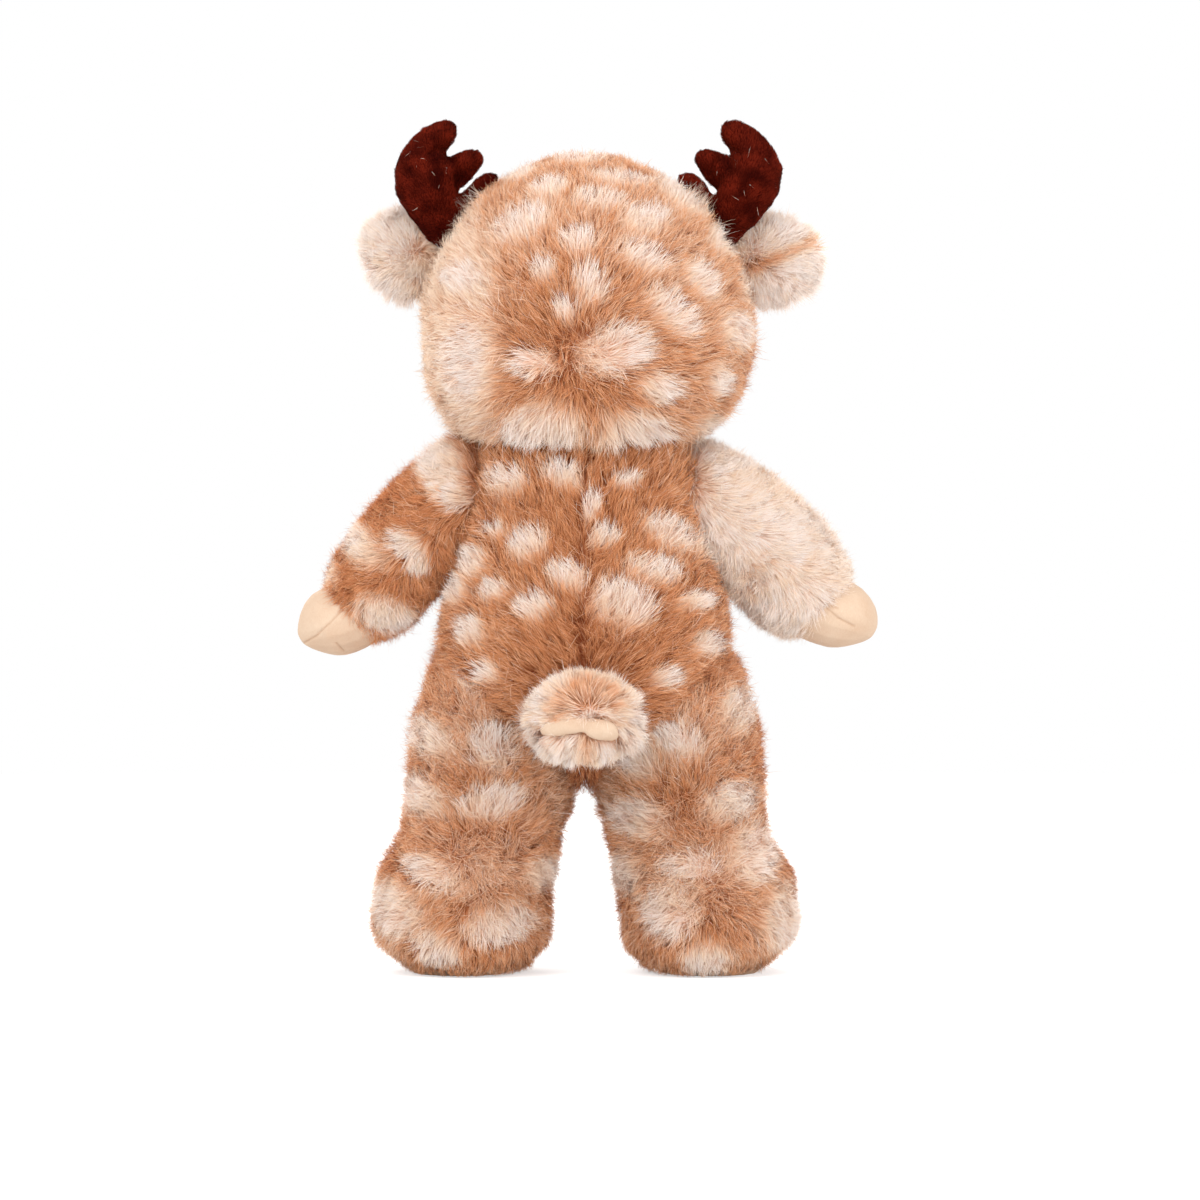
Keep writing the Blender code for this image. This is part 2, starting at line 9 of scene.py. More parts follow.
import bmesh
import bpy
import numpy as np
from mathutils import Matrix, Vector, noise
from mathutils.bvhtree import BVHTree
from mathutils.kdtree import KDTree


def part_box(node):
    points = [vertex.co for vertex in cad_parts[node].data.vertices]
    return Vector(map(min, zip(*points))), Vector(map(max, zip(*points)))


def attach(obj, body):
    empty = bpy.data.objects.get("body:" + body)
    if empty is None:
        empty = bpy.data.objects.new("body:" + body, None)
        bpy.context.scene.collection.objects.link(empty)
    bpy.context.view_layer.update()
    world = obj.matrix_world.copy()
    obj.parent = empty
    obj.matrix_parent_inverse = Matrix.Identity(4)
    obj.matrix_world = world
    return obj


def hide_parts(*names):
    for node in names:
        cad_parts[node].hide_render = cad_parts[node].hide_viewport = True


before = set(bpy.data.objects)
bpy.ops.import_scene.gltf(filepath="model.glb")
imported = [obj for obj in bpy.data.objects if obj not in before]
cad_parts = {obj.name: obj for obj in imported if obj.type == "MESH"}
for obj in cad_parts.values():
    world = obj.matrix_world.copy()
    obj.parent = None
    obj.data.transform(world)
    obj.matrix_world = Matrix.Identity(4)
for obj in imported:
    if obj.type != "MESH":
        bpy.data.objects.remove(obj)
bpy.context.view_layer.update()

# The photographer's table: a white floor that keeps the toy's shadow, a white
# surround and three soft lamps. The camera looks level at the toy's back through a
# long lens, so the frame takes in 0.6 m at the toy.
FRAME_PIXELS = 1200
PIXEL = 0.0005
MIDDLE_COLUMN = 585
FLOOR_ROW = 972
CAMERA_DISTANCE = 2.6
FLOOR_RADIUS = 3.0
FLOOR_SIDES = 64
FLOOR_WHITENESS = 0.8
FLOOR_GLOW = 0.55
SURROUND_LIGHT = 0.97
# Each lamp's name, its place, the side of its square and its watts
LAMPS = (
    ("key_lamp", (0.9, 1.5, 1.3), 1.2, 14.5),
    ("fill_lamp", (-1.2, 1.3, 0.3), 1.4, 13),
    ("face_lamp", (0.5, -1.6, 1.1), 1.3, 12),
)


def photo_point(column, row):
    """Where a pixel of the photograph lies across and above the toy's middle."""
    return (MIDDLE_COLUMN - column) * PIXEL, (FLOOR_ROW - row) * PIXEL


across, height = photo_point(FRAME_PIXELS / 2, FRAME_PIXELS / 2)
lens = bpy.data.cameras.new("long_lens")
camera = bpy.data.objects.new("camera", lens)
bpy.context.scene.collection.objects.link(camera)
camera.location = (across, CAMERA_DISTANCE, height)
camera.rotation_euler = (math.pi / 2, 0, math.pi)
lens.lens = lens.sensor_width * CAMERA_DISTANCE / (FRAME_PIXELS * PIXEL)
bpy.context.scene.camera = camera
bpy.context.scene.view_settings.view_transform = "Standard"


def seen_directly(nodes, links):
    """A socket that is 1 for what the camera sees, also in a reflection or through glass."""
    light_path = nodes.new("ShaderNodeLightPath")
    seen = light_path.outputs["Is Camera Ray"]
    for ray in ("Is Glossy Ray", "Is Transmission Ray"):
        either = nodes.new("ShaderNodeMath")
        either.operation = "MAXIMUM"
        links.new(seen, either.inputs[0])
        links.new(light_path.outputs[ray], either.inputs[1])
        seen = either.outputs[0]
    return seen


def added(name, bm):
    """Puts what a bmesh holds into the scene as an object of its own."""
    mesh = bpy.data.meshes.new(name)
    bm.to_mesh(mesh)
    bm.free()
    made = bpy.data.objects.new(name, mesh)
    bpy.context.scene.collection.objects.link(made)
    return made


surround = bpy.data.worlds.new("white_surround")
bpy.context.scene.world = surround
surround.use_nodes = True
nodes, links = surround.node_tree.nodes, surround.node_tree.links
nodes.clear()
strength = nodes.new("ShaderNodeMapRange")
strength.inputs["To Min"].default_value = SURROUND_LIGHT
strength.inputs["To Max"].default_value = 1.0
links.new(seen_directly(nodes, links), strength.inputs["Value"])
backdrop = nodes.new("ShaderNodeBackground")
backdrop.inputs["Color"].default_value = (1, 1, 1, 1)
links.new(strength.outputs["Result"], backdrop.inputs["Strength"])
world_output = nodes.new("ShaderNodeOutputWorld")
links.new(backdrop.outputs["Background"], world_output.inputs["Surface"])


def soft_lamp(name, place, size, watts):
    """A large square lamp that faces the middle of the toy."""
    data = bpy.data.lights.new(name, "AREA")
    data.size = size
    data.energy = watts
    lamp = bpy.data.objects.new(name, data)
    bpy.context.scene.collection.objects.link(lamp)
    lamp.location = place
    towards_toy = Vector((0, 0, height)) - Vector(place)
    lamp.rotation_euler = towards_toy.to_track_quat("-Z", "Y").to_euler()


for lamp_values in LAMPS:
    soft_lamp(*lamp_values)

bm = bmesh.new()
bmesh.ops.create_circle(bm, cap_ends=True, radius=FLOOR_RADIUS, segments=FLOOR_SIDES)
floor = added("floor", bm)
white_floor = bpy.data.materials.new("white_floor")
white_floor.use_nodes = True
nodes, links = white_floor.node_tree.nodes, white_floor.node_tree.links
nodes.clear()
paint = nodes.new("ShaderNodeBsdfDiffuse")
paint.inputs["Color"].default_value = (FLOOR_WHITENESS, FLOOR_WHITENESS, FLOOR_WHITENESS, 1)
glow = nodes.new("ShaderNodeEmission")
glow.inputs["Strength"].default_value = FLOOR_GLOW
dark = nodes.new("ShaderNodeBsdfTransparent")
dark.inputs["Color"].default_value = (0, 0, 0, 1)
only_seen = nodes.new("ShaderNodeMixShader")
links.new(seen_directly(nodes, links), only_seen.inputs[0])
links.new(dark.outputs[0], only_seen.inputs[1])
links.new(glow.outputs[0], only_seen.inputs[2])
both = nodes.new("ShaderNodeAddShader")
links.new(paint.outputs[0], both.inputs[0])
links.new(only_seen.outputs[0], both.inputs[1])
floor_output = nodes.new("ShaderNodeOutputMaterial")
links.new(both.outputs[0], floor_output.inputs["Surface"])
floor.data.materials.append(white_floor)

# Torso: one long-pile cover, caramel with rows of white spots down the back, stuffed
# firm. The pile lies up and outwards from the tail, and parts at the seam down the
# middle of the back.
BACKING_VOXEL = 0.0028
PILE_LENGTH = 0.0135
PILE_WIDTH = 0.00024
KNIT_STITCH = 0.0008
LOCK_SPACING = 0.012
TUFT_SPACING = 0.0030
# How far up a strand its points stand, and how wide it is there
STRAND_SHAPE = ((0.0, 1.0), (0.4, 0.9), (0.75, 0.6), (1.0, 0.0))
STRAY_SHARE = 0.07
LOCK_LEAN = 0.22
TUFT_LEAN = 0.15
FLOOR_GAP = 0.0004
MAP_MARGIN = 0.02
MAP_SPAN = 0.95
# Each white spot: its column and row in the photograph, half its width, half its
# height, all in pixels, and its tilt in degrees, clockwise as seen
TORSO_SPOTS = (
    (510, 484, 17, 12, -10), (565, 479, 18, 11, 20), (590, 511, 8, 14, 20), (624, 484, 13, 7, 0),
    (530, 546, 17, 13, -30), (604, 539, 12, 10, 0), (668, 536, 25, 12, 28), (652, 571, 25, 10, 10),
    (569, 578, 17, 11, 15), (622, 605, 27, 20, 15), (475, 564, 12, 13, 0), (459, 589, 9, 13, 0),
    (498, 592, 13, 8, -15), (537, 608, 15, 11, -20), (475, 631, 13, 13, 0), (693, 601, 16, 9, 0),
    (705, 644, 13, 11, 0), (496, 532, 10, 7, 0), (489, 672, 12, 9, 0), (663, 676, 12, 9, 0),
    (705, 548, 10, 12, 0),
)
SPOT_GROWTH = 1.12
TAIL_COLUMN = 585
TAIL_ROW = 690
PARTING_WIDTH = 0.005
SPREAD_DROP = 0.01
SPREAD_WIDENING = 1.3
NECK_HEIGHT = 0.262
SIDE_REACH = 0.075
# The strip between the legs: its top, how softly pile and cloth change there and
# towards its front, and the place that its front is drawn to, by a share of the way
FORK_HEIGHT = 0.142
FORK_BLEND = 0.012
FORK_FRONT_BLEND = 0.02
FORK_BACK = 0.016
FORK_TUCK = 0.62
# How far the cloth is taken in from the fabric cut, to leave room for the pile: the row
# of the photograph, then pixels off the left edge and off the right edge
TORSO_TAKEN_IN = ((440, 0, 0), (600, 0, 0), (630, 3, 4), (645, 7, 10), (700, 9, 10))
TRUNK_HALF_WIDTH = 0.06


def soft_skin(name, *pieces, voxel=BACKING_VOXEL, rounds=6):
    """One closed skin over a cover and its filling, evenly meshed and softened."""
    bm = bmesh.new()
    for piece in pieces:
        bm.from_mesh(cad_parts[piece].data)
    skin = added(name, bm)
    even_out(skin, voxel, rounds)
    return skin


def even_out(skin, voxel, rounds):
    """Meshes a skin evenly, softens it and drops any bubble inside it."""
    even = skin.modifiers.new("even", "REMESH")
    even.mode = "VOXEL"
    even.voxel_size = voxel
    softened = skin.modifiers.new("softened", "CORRECTIVE_SMOOTH")
    softened.iterations = rounds
    softened.use_only_smooth = True
    bpy.context.view_layer.update()
    evaluated = skin.evaluated_get(bpy.context.evaluated_depsgraph_get())
    made = bpy.data.meshes.new_from_object(evaluated)
    skin.modifiers.clear()
    bm = bmesh.new()
    bm.from_mesh(made)
    unseen = set(bm.verts)
    islands = []
    while unseen:
        island = []
        front = [unseen.pop()]
        while front:
            vertex = front.pop()
            island.append(vertex)
            for edge in vertex.link_edges:
                other = edge.other_vert(vertex)
                if other in unseen:
                    unseen.remove(other)
                    front.append(other)
        islands.append(island)
    outside = max(islands, key=len)
    for island in islands:
        if island is not outside:
            bmesh.ops.delete(bm, geom=island, context="VERTS")
    bm.to_mesh(made)
    bm.free()
    made.shade_smooth()
    skin.data = made


def skin_arrays(skin):
    """A skin's points and its normals there."""
    mesh = skin.data
    points, normals = np.empty((2, len(mesh.vertices) * 3))
    mesh.vertices.foreach_get("co", points)
    mesh.vertices.foreach_get("normal", normals)
    return points.reshape(-1, 3), normals.reshape(-1, 3)


def move_points(skin, points):
    """Moves a skin's points to new places."""
    skin.data.vertices.foreach_set("co", points.ravel())
    skin.data.update()


def taken_in(skin, middle, rows, half_width):
    """Narrows a skin towards its middle, by pixels at rows of the photograph."""
    points = skin_arrays(skin)[0]
    down, off_left, off_right = np.array(rows, float).T
    row = FLOOR_ROW - points[:, 2] / PIXEL
    side = np.clip((points[:, 0] - middle) / half_width, -1, 1)
    taken = np.where(side > 0, np.interp(row, down, off_left), np.interp(row, down, off_right))
    points[:, 0] -= side * taken * PIXEL
    move_points(skin, points)


def shaded(name):
    """A new material, with its nodes, its links and its shader."""
    material = bpy.data.materials.new(name)
    material.use_nodes = True
    nodes, links = material.node_tree.nodes, material.node_tree.links
    return material, nodes, links, nodes["Principled BSDF"]


def dye_ramp(nodes, links, shade, stops):
    """The colour that a shade from 0 to 1 has between the stops of a ramp."""
    ramp = nodes.new("ShaderNodeValToRGB")
    elements = ramp.color_ramp.elements
    while len(elements) < len(stops):
        elements.new(0.5)
    for element, (position, color) in zip(elements, stops):
        element.position = position
        element.color = (*color, 1)
    links.new(shade, ramp.inputs["Fac"])
    return ramp.outputs["Color"]


def mottle(nodes, size, detail=2):
    """Noise whose patches are about size across."""
    patches = nodes.new("ShaderNodeTexNoise")
    patches.inputs["Scale"].default_value = 1 / size
    patches.inputs["Detail"].default_value = detail
    return patches


def dyed_pile(name, root_dyes_and_shade, tip_dyes, gloss=0.12, sheen=0.04, sheen_tint=(1, 1, 1)):
    """Cut pile: across the map a strand's shade, dark to pale, and up the map root to tip; the darker
    roots are partly dye and partly painted shade.
    """
    dyed, nodes, links, shader = shaded(name)
    shader.inputs["Roughness"].default_value = 0.7
    shader.inputs["Specular IOR Level"].default_value = gloss
    shader.inputs["Sheen Weight"].default_value = sheen
    shader.inputs["Sheen Tint"].default_value = (*sheen_tint, 1)
    shader.inputs["Sheen Roughness"].default_value = 0.5
    place = nodes.new("ShaderNodeUVMap")
    place.uv_map = "OFBake"
    parts = nodes.new("ShaderNodeSeparateXYZ")
    links.new(place.outputs["UV"], parts.inputs["Vector"])
    rise = nodes.new("ShaderNodeMapRange")
    rise.interpolation_type = "SMOOTHSTEP"
    rise.inputs["From Min"].default_value = 0.05
    rise.inputs["From Max"].default_value = 0.85
    links.new(parts.outputs["Y"], rise.inputs["Value"])
    blend = nodes.new("ShaderNodeMix")
    blend.data_type = "RGBA"
    links.new(rise.outputs["Result"], blend.inputs["Factor"])
    for end, stops in (("A", root_dyes_and_shade), ("B", tip_dyes)):
        links.new(dye_ramp(nodes, links, parts.outputs["X"], stops), blend.inputs[end])
    links.new(blend.outputs["Result"], shader.inputs["Base Color"])
    return dyed


# The roots are partly dyed and partly painted shade: deeper and warmer than the tips, so the depths of
# the pile look shaded and warm.
LONG_PILE = dyed_pile(
    "long_pile",
    (
        (0.0, (0.13, 0.020, 0.005)),
        (0.4, (0.34, 0.072, 0.017)),
        (0.8, (0.87, 0.48, 0.27)),
        (1.0, (0.94, 0.63, 0.46)),
    ),
    (
        (0.0, (0.48, 0.14, 0.046)),
        (0.4, (0.81, 0.375, 0.17)),
        (0.8, (0.935, 0.75, 0.58)),
        (1.0, (0.955, 0.875, 0.83)),
    ),
)

BACKING_DYES = ((0.2, (0.34, 0.10, 0.035)), (0.5, (0.50, 0.20, 0.09)), (1.0, (0.90, 0.66, 0.50)))
BACKING, nodes, links, shader = shaded("fur_backing")
shader.inputs["Roughness"].default_value = 0.9
mark = nodes.new("ShaderNodeAttribute")
mark.attribute_name = "dye"
links.new(dye_ramp(nodes, links, mark.outputs["Fac"], BACKING_DYES), shader.inputs["Base Color"])
loops = nodes.new("ShaderNodeBump")
loops.inputs["Distance"].default_value = KNIT_STITCH / 4
links.new(mottle(nodes, KNIT_STITCH).outputs["Fac"], loops.inputs["Height"])
links.new(loops.outputs["Normal"], shader.inputs["Normal"])


def back_with(skin, shade):
    """Gives a cover its knitted backing, dyed like the roots of the pile on it."""
    points, normals = skin_arrays(skin)
    mark = skin.data.attributes.new("dye", "FLOAT", "POINT")
    mark.data.foreach_set("value", shade(points, normals, np.random.default_rng(1)))
    skin.data.materials.append(BACKING)


def spread_from(offsets, reach):
    """Outward pile that lies flat beyond reach and is tousled nearer the middle."""
    return offsets / np.maximum(np.linalg.norm(offsets, axis=1, keepdims=True), reach)


def fade(values, start, length):
    """0 at start and 1 a length beyond it, or below it where the length is negative."""
    return np.clip((values - start) / length, 0, 1)


def unit(vectors):
    return vectors / np.maximum(np.linalg.norm(vectors, axis=1, keepdims=True), 1e-9)


def scattered(skin, count, rng):
    """Points spread evenly over a skin, with its normals there."""
    points, normals = skin_arrays(skin)
    skin.data.calc_loop_triangles()
    corners = np.empty(len(skin.data.loop_triangles) * 3, int)
    skin.data.loop_triangles.foreach_get("vertices", corners)
    corners = corners.reshape(-1, 3)
    a, b, c = (points[corners[:, i]] for i in range(3))
    areas = np.linalg.norm(np.cross(b - a, c - a), axis=1) / 2
    chosen = rng.choice(len(corners), count, p=areas / areas.sum())
    u, v = rng.random(count), rng.random(count)
    over = u + v > 1
    u[over], v[over] = 1 - u[over], 1 - v[over]
    weights = np.stack([1 - u - v, u, v], 1)[:, :, None]
    where = (points[corners[chosen]] * weights).sum(1)
    facing = unit((normals[corners[chosen]] * weights).sum(1))
    return where, facing, areas.sum()


def tree_of(places):
    tree = KDTree(len(places))
    for number, place in enumerate(places):
        tree.insert(place, number)
    tree.balance()
    return tree


def nearest(centres, points):
    """The number of the centre that lies nearest to each point."""
    tree = tree_of(centres)
    return np.array([tree.find(point)[1] for point in points])


def pile(
    name, skin, body, comb, shade, seed, count=60000, length=PILE_LENGTH,
    width=PILE_WIDTH, stand=0.32, trim=None, dyes=LONG_PILE, clump=1.0,
):
    """Sews strands over a skin: each leans with the comb, with its lock and with its tuft.

    comb(points, normals) gives the way the pile lies, shade(points, normals, rng) each
    strand's shade from 0 to 1, and trim(points, normals) the share of its length that
    is left, where 0 drops the strand.
    """
    rng = np.random.default_rng(seed)
    roots, normals, area = scattered(skin, count, rng)
    left = np.ones(count) if trim is None else trim(roots, normals)
    kept = left > 0.02
    roots, normals, left = roots[kept], normals[kept], left[kept]
    total = len(roots)

    lie = comb(roots, normals)
    lie = lie - normals * (lie * normals).sum(1, keepdims=True)
    locks = scattered(skin, max(int(area / LOCK_SPACING**2), 4), rng)[0]
    lock = nearest(locks, roots)
    lock_lean = rng.normal(0, 1, (len(locks), 3))[lock]
    tufts = scattered(skin, max(int(area / TUFT_SPACING**2), 8), rng)[0]
    tuft = nearest(tufts, roots)
    tuft_lean = rng.normal(0, 1, (len(tufts), 3))[tuft]
    tuft_length = rng.uniform(0.8, 1.15, len(tufts))[tuft]
    stray = rng.random(total) < STRAY_SHARE
    own = rng.normal(0, 1, (total, 3)) * np.where(stray, 0.5, 0.15)[:, None]

    tousled = 1 + 1.6 * (1 - np.linalg.norm(lie, axis=1).clip(0, 1))[:, None]
    along = lie * 0.85 + (lock_lean * LOCK_LEAN + tuft_lean * TUFT_LEAN + own) * tousled * clump
    along -= normals * (along * normals).sum(1, keepdims=True)
    start = unit(normals * (stand + 0.25) + along)
    finish = unit(normals * max(stand - 0.2, 0.05) + along)
    reach = length * left * tuft_length * rng.uniform(0.75, 1.1, total) * np.where(stray, 1.12, 1)

    tuft_tip = np.zeros((len(tufts), 3))
    sums = np.bincount(tuft, minlength=len(tufts)).clip(1)
    tips = roots + (start + finish) / 2 * reach[:, None]
    for axis in range(3):
        tuft_tip[:, axis] = np.bincount(tuft, tips[:, axis], len(tufts)) / sums
    pull = (tuft_tip[tuft] - tips) * (rng.uniform(0.2, 0.8, total) * ~stray)[:, None] * clump

    side = unit(np.cross((start + finish) / 2, normals + rng.normal(0, 0.3, (total, 3))))
    curl = rng.normal(0, length * 0.035, (total, 1)) * side
    rows = []
    for step, share_wide in STRAND_SHAPE:
        bend = start * (step - step**2 / 2) + finish * step**2 / 2
        point = roots + bend * reach[:, None] + pull * step**1.5 + curl * math.sin(math.pi * step)
        half = side * (width / 2 * share_wide * np.where(stray, 0.7, 1)[:, None])
        rows += [point - half, point + half] if share_wide else [point]
    points = np.stack(rows, 1)
    points[:, :, 2] = np.maximum(points[:, :, 2], FLOOR_GAP)

    tone = shade(roots + (start + finish) / 4 * reach[:, None], normals, rng)
    tone += rng.normal(0, 0.05, len(tufts))[tuft] + 0.25 * stray
    u = MAP_MARGIN + MAP_SPAN * np.clip(tone, 0, 1)
    corners = np.array([0, 1, 3, 2, 2, 3, 5, 4, 4, 5, 6])
    mesh = bpy.data.meshes.new(name)
    mesh.vertices.add(total * 7)
    mesh.vertices.foreach_set("co", points.ravel())
    mesh.loops.add(total * 11)
    mesh.loops.foreach_set("vertex_index", (np.arange(total)[:, None] * 7 + corners).ravel())
    mesh.polygons.add(total * 3)
    starts = np.arange(total)[:, None] * 11 + np.array([0, 4, 8])
    mesh.polygons.foreach_set("loop_start", starts.ravel())
    mesh.update(calc_edges=True)
    mesh.shade_smooth()
    map_place = mesh.uv_layers.new(name="OFBake")
    rise = np.repeat([step for step, _ in STRAND_SHAPE], 2)[:7][corners]
    shift = np.array([0, 0.01, 0, 0.01, 0, 0.01, 0.005])[corners]
    v = np.broadcast_to(MAP_MARGIN + MAP_SPAN * rise, (total, 11))
    uv = np.stack([u[:, None] + shift, v], 2)
    map_place.data.foreach_set("uv", uv.ravel())
    mesh.materials.append(dyes)
    fur = bpy.data.objects.new(name, mesh)
    bpy.context.scene.collection.objects.link(fur)
    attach(fur, body)


def two_piles(name, skin, body, comb, shade, seed, counts, trim, clump=1.0):
    """Sews a cover's long pile in two goes, each a mesh of its own."""
    for layer, count in zip(("fur", "fur_upper"), counts):
        pile(
            f"{name}_{layer}", skin, body, comb, shade, seed + count,
            count=count, trim=trim, clump=clump,
        )


def dressed(skin, body, slot, *replaced, fill=0.9):
    """Hangs a stuffed piece on its body in place of its solids."""
    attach(skin, body)
    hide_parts(*replaced)


def spotted(points, normals, spots, rng, lie):
    """How white each point of the back is: a spot is crisp where its tips end and soft behind."""
    white = np.zeros(len(points))
    ragged = rng.normal(0, 0.11, len(points))
    for column, row, half_wide, half_high, tilt in spots:
        x, z = photo_point(column, row)
        across = -(points[:, 0] - x) / PIXEL
        down = -(points[:, 2] - z) / PIXEL
        turn = math.radians(tilt)
        wide = across * math.cos(turn) + down * math.sin(turn)
        high = down * math.cos(turn) - across * math.sin(turn)
        reach = np.hypot(wide / half_wide, high / half_high) / SPOT_GROWTH + ragged
        ahead = (down * -lie[:, 2] - across * lie[:, 0]) / math.sqrt(half_wide * half_high)
        soft = np.clip(0.5 - 0.6 * ahead, 0, 1)
        spot = np.clip((1.3 + 0.2 * soft - reach) / (0.35 + 0.6 * soft), 0, 1) * (1 - 0.25 * soft)
        white = np.maximum(white, spot)
    return white * (normals[:, 1] > -0.1)


def scattered_spots(skin, points, normals, rng, seed, spacing=0.034, size=0.009, behind=0.15):
    """White spots where the photograph doesn't look: on the front and the undersides."""
    own = np.random.default_rng(seed)
    centres, facing, _ = scattered(skin, 400, own)
    chosen = []
    for centre, normal in zip(centres, facing):
        if normal[1] < behind and all(np.linalg.norm(centre - other) > spacing for other in chosen):
            chosen.append(centre)
    if not chosen:
        return np.zeros(len(points))
    chosen = np.array(chosen)
    stretch = np.array([1.0, 1.0, 1.25])
    which = nearest(chosen, points)
    reach = np.linalg.norm((points - chosen[which]) * stretch, axis=1) / size
    reach += rng.normal(0, 0.16, len(points))
    return np.clip((1.35 - reach) / 0.6, 0, 1)


torso = soft_skin("torso_cover", "torso", "torso_stuffing")
taken_in(torso, 0, TORSO_TAKEN_IN, TRUNK_HALF_WIDTH)
dressed(torso, "torso", "caramel_fur", "torso", "torso_stuffing")
tail_x, tail_z = photo_point(TAIL_COLUMN, TAIL_ROW)


def torso_comb(points, normals):
    outward = np.zeros_like(points)
    outward[:, 0] = (points[:, 0] - tail_x) * SPREAD_WIDENING
    outward[:, 2] = points[:, 2] - tail_z + SPREAD_DROP
    parting = np.sign(points[:, :1]) * np.exp(-((points[:, :1] / PARTING_WIDTH) ** 2))
    lie = unit(unit(outward) + parting * np.array((0.7, 0, 0)))
    fork = under_belly(points)[:, None]
    return unit(lie * (1 - fork) + np.array((0, 0, -1)) * fork)


def below_fork(points):
    return fade(points[:, 2], FORK_HEIGHT, -FORK_BLEND)


def under_belly(points):
    """How far each point is into the front of the strip between the legs."""
    return below_fork(points) * np.clip(0.5 - points[:, 1] / FORK_FRONT_BLEND, 0, 1)


def torso_shade(points, normals, rng):
    base = 0.21 + 0.22 * np.clip(np.abs(points[:, 0]) / SIDE_REACH, 0, 1)
    base += rng.normal(0, 0.11, len(points))
    white = np.maximum(
        spotted(points, normals, TORSO_SPOTS, rng, torso_comb(points, normals)),
        scattered_spots(torso, points, normals, rng, 11) * (1 - under_belly(points)),
    )
    return base + (1 - base) * white


def torso_trim(points, normals):
    covered = (points[:, 2] > NECK_HEIGHT) & (normals[:, 2] > 0.6)
    return np.where(covered, 0, 1 - 0.55 * under_belly(points))


# The strip between the legs is drawn in behind the fronts of the legs
points, normals = skin_arrays(torso)
points[:, 1] += FORK_TUCK * below_fork(points) * np.maximum(FORK_BACK - points[:, 1], 0)
move_points(torso, points)
back_with(torso, torso_shade)
two_piles(
    "torso", torso, "torso", torso_comb, torso_shade, 21, (66000, 56000), torso_trim
)

# Head: a long-pile cover, stuffed into a firm ball and sewn to the neck. The pile
# spreads from a whorl low on the back, and is shorn short round the eyes and muzzle.
# The toy's left side is cream, the rest caramel with white spots.
HEAD_SPOTS = (
    (579, 164, 22, 5, 0), (635, 163, 9, 4, 0), (521, 179, 13, 7, -20), (550, 198, 15, 10, -10),
    (599, 210, 21, 8, 5), (623, 187, 24, 6, 5), (681, 200, 25, 13, 35), (524, 234, 25, 13, -25),
    (579, 251, 15, 10, 0), (642, 230, 20, 13, -10), (640, 267, 22, 11, 20), (545, 281, 11, 9, 0),
    (591, 295, 12, 17, -25), (567, 319, 10, 9, 0), (669, 319, 25, 13, 42), (698, 288, 12, 17, -40),
    (722, 244, 14, 13, 30), (732, 334, 14, 15, 0), (747, 285, 9, 17, 0), (613, 358, 30, 20, -15),
    (536, 370, 20, 12, 15), (657, 392, 16, 12, 0), (717, 385, 10, 12, 0), (545, 431, 33, 19, 0),
    (633, 436, 32, 18, 0), (708, 431, 15, 13, -20), (473, 365, 20, 30, 0), (468, 287, 18, 13, 20),
)
ANTLER_SEAM = ((427, 243), (480, 204))
WHORL_COLUMN = 575
WHORL_ROW = 372
CREAM_SIDE_COLUMN = 497
HEAD_TAKEN_IN = ((150, 4, 0), (300, 5, 0), (345, 7, 0), (375, 6, 3), (420, 3, 5), (450, 0, 2))
WHORL_REACH = 0.022
WHORL_SHADE_REACH = 0.07
# Where the pile starts to lie away from the face instead of away from the whorl
FACE_START = -0.01
FACE_BLEND = 0.04
# The edge of the cream side: where it turns outwards, how ragged and how soft it is,
# and how far round to the front it goes
CREAM_TURN_HEIGHT = 0.35
CREAM_RAGGEDNESS = 0.003
CREAM_BLEND = 0.014
CREAM_FRONT = -0.02
# The longer pile along the nape, and the shorter pile on the crown
NECK_FRINGE = 1.35
NAPE_HEIGHT = 0.286
NAPE_BLEND = 0.012
NAPE_FRONT = 0.02
UNDER_CHIN = 0.004
CROWN_HEIGHT = 0.375
CROWN_BLEND = 0.03
# The tall hairs that hide the seams of the antlers
ANTLER_SEAM_DEPTH = 0.009
ANTLER_CLEARANCE = 0.012
ANTLER_HAIR_REACH = 0.0065
ANTLER_HAIR_OUTER = (0.054, 0.064)
TALL_LENGTH = 0.0190
TALL_WIDTH = 0.0002
# Where the pile is shorn away and where it gets back its length, from each middle
EYE_HOLE = 0.0085
EYE_RIM = 0.0075
EYE_SHEARING = 0.020
MUZZLE_HOLE = 0.026
MUZZLE_RIM = 0.018
MUZZLE_SHEARING = 0.052
MUZZLE_WHITE = 0.055
MUZZLE_WHITE_BLEND = 0.012
MUZZLE_PLACE = Vector((0, -0.075, 0.300))

head = soft_skin("head_cover", "head", "head_stuffing")
taken_in(head, 0, HEAD_TAKEN_IN, TRUNK_HALF_WIDTH)
dressed(head, "head", "caramel_fur", "head", "head_stuffing")
whorl_x, whorl_z = photo_point(WHORL_COLUMN, WHORL_ROW)
head_low, head_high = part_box("head")
cream_x = photo_point(CREAM_SIDE_COLUMN, WHORL_ROW)[0]
eye_places = [
    (np.array(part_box(f"{side}_eye")[0]) + np.array(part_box(f"{side}_eye")[1])) / 2
    for side in ("left", "right")
]


def head_comb(points, normals):
    whorl = np.array((whorl_x, head_high[1], whorl_z))
    outward = spread_from(points - whorl, WHORL_REACH)
    from_face = unit(points - np.array(MUZZLE_PLACE))
    behind = fade(points[:, 1], FACE_START, FACE_BLEND)[:, None]
    return outward * behind + from_face * (1 - behind)


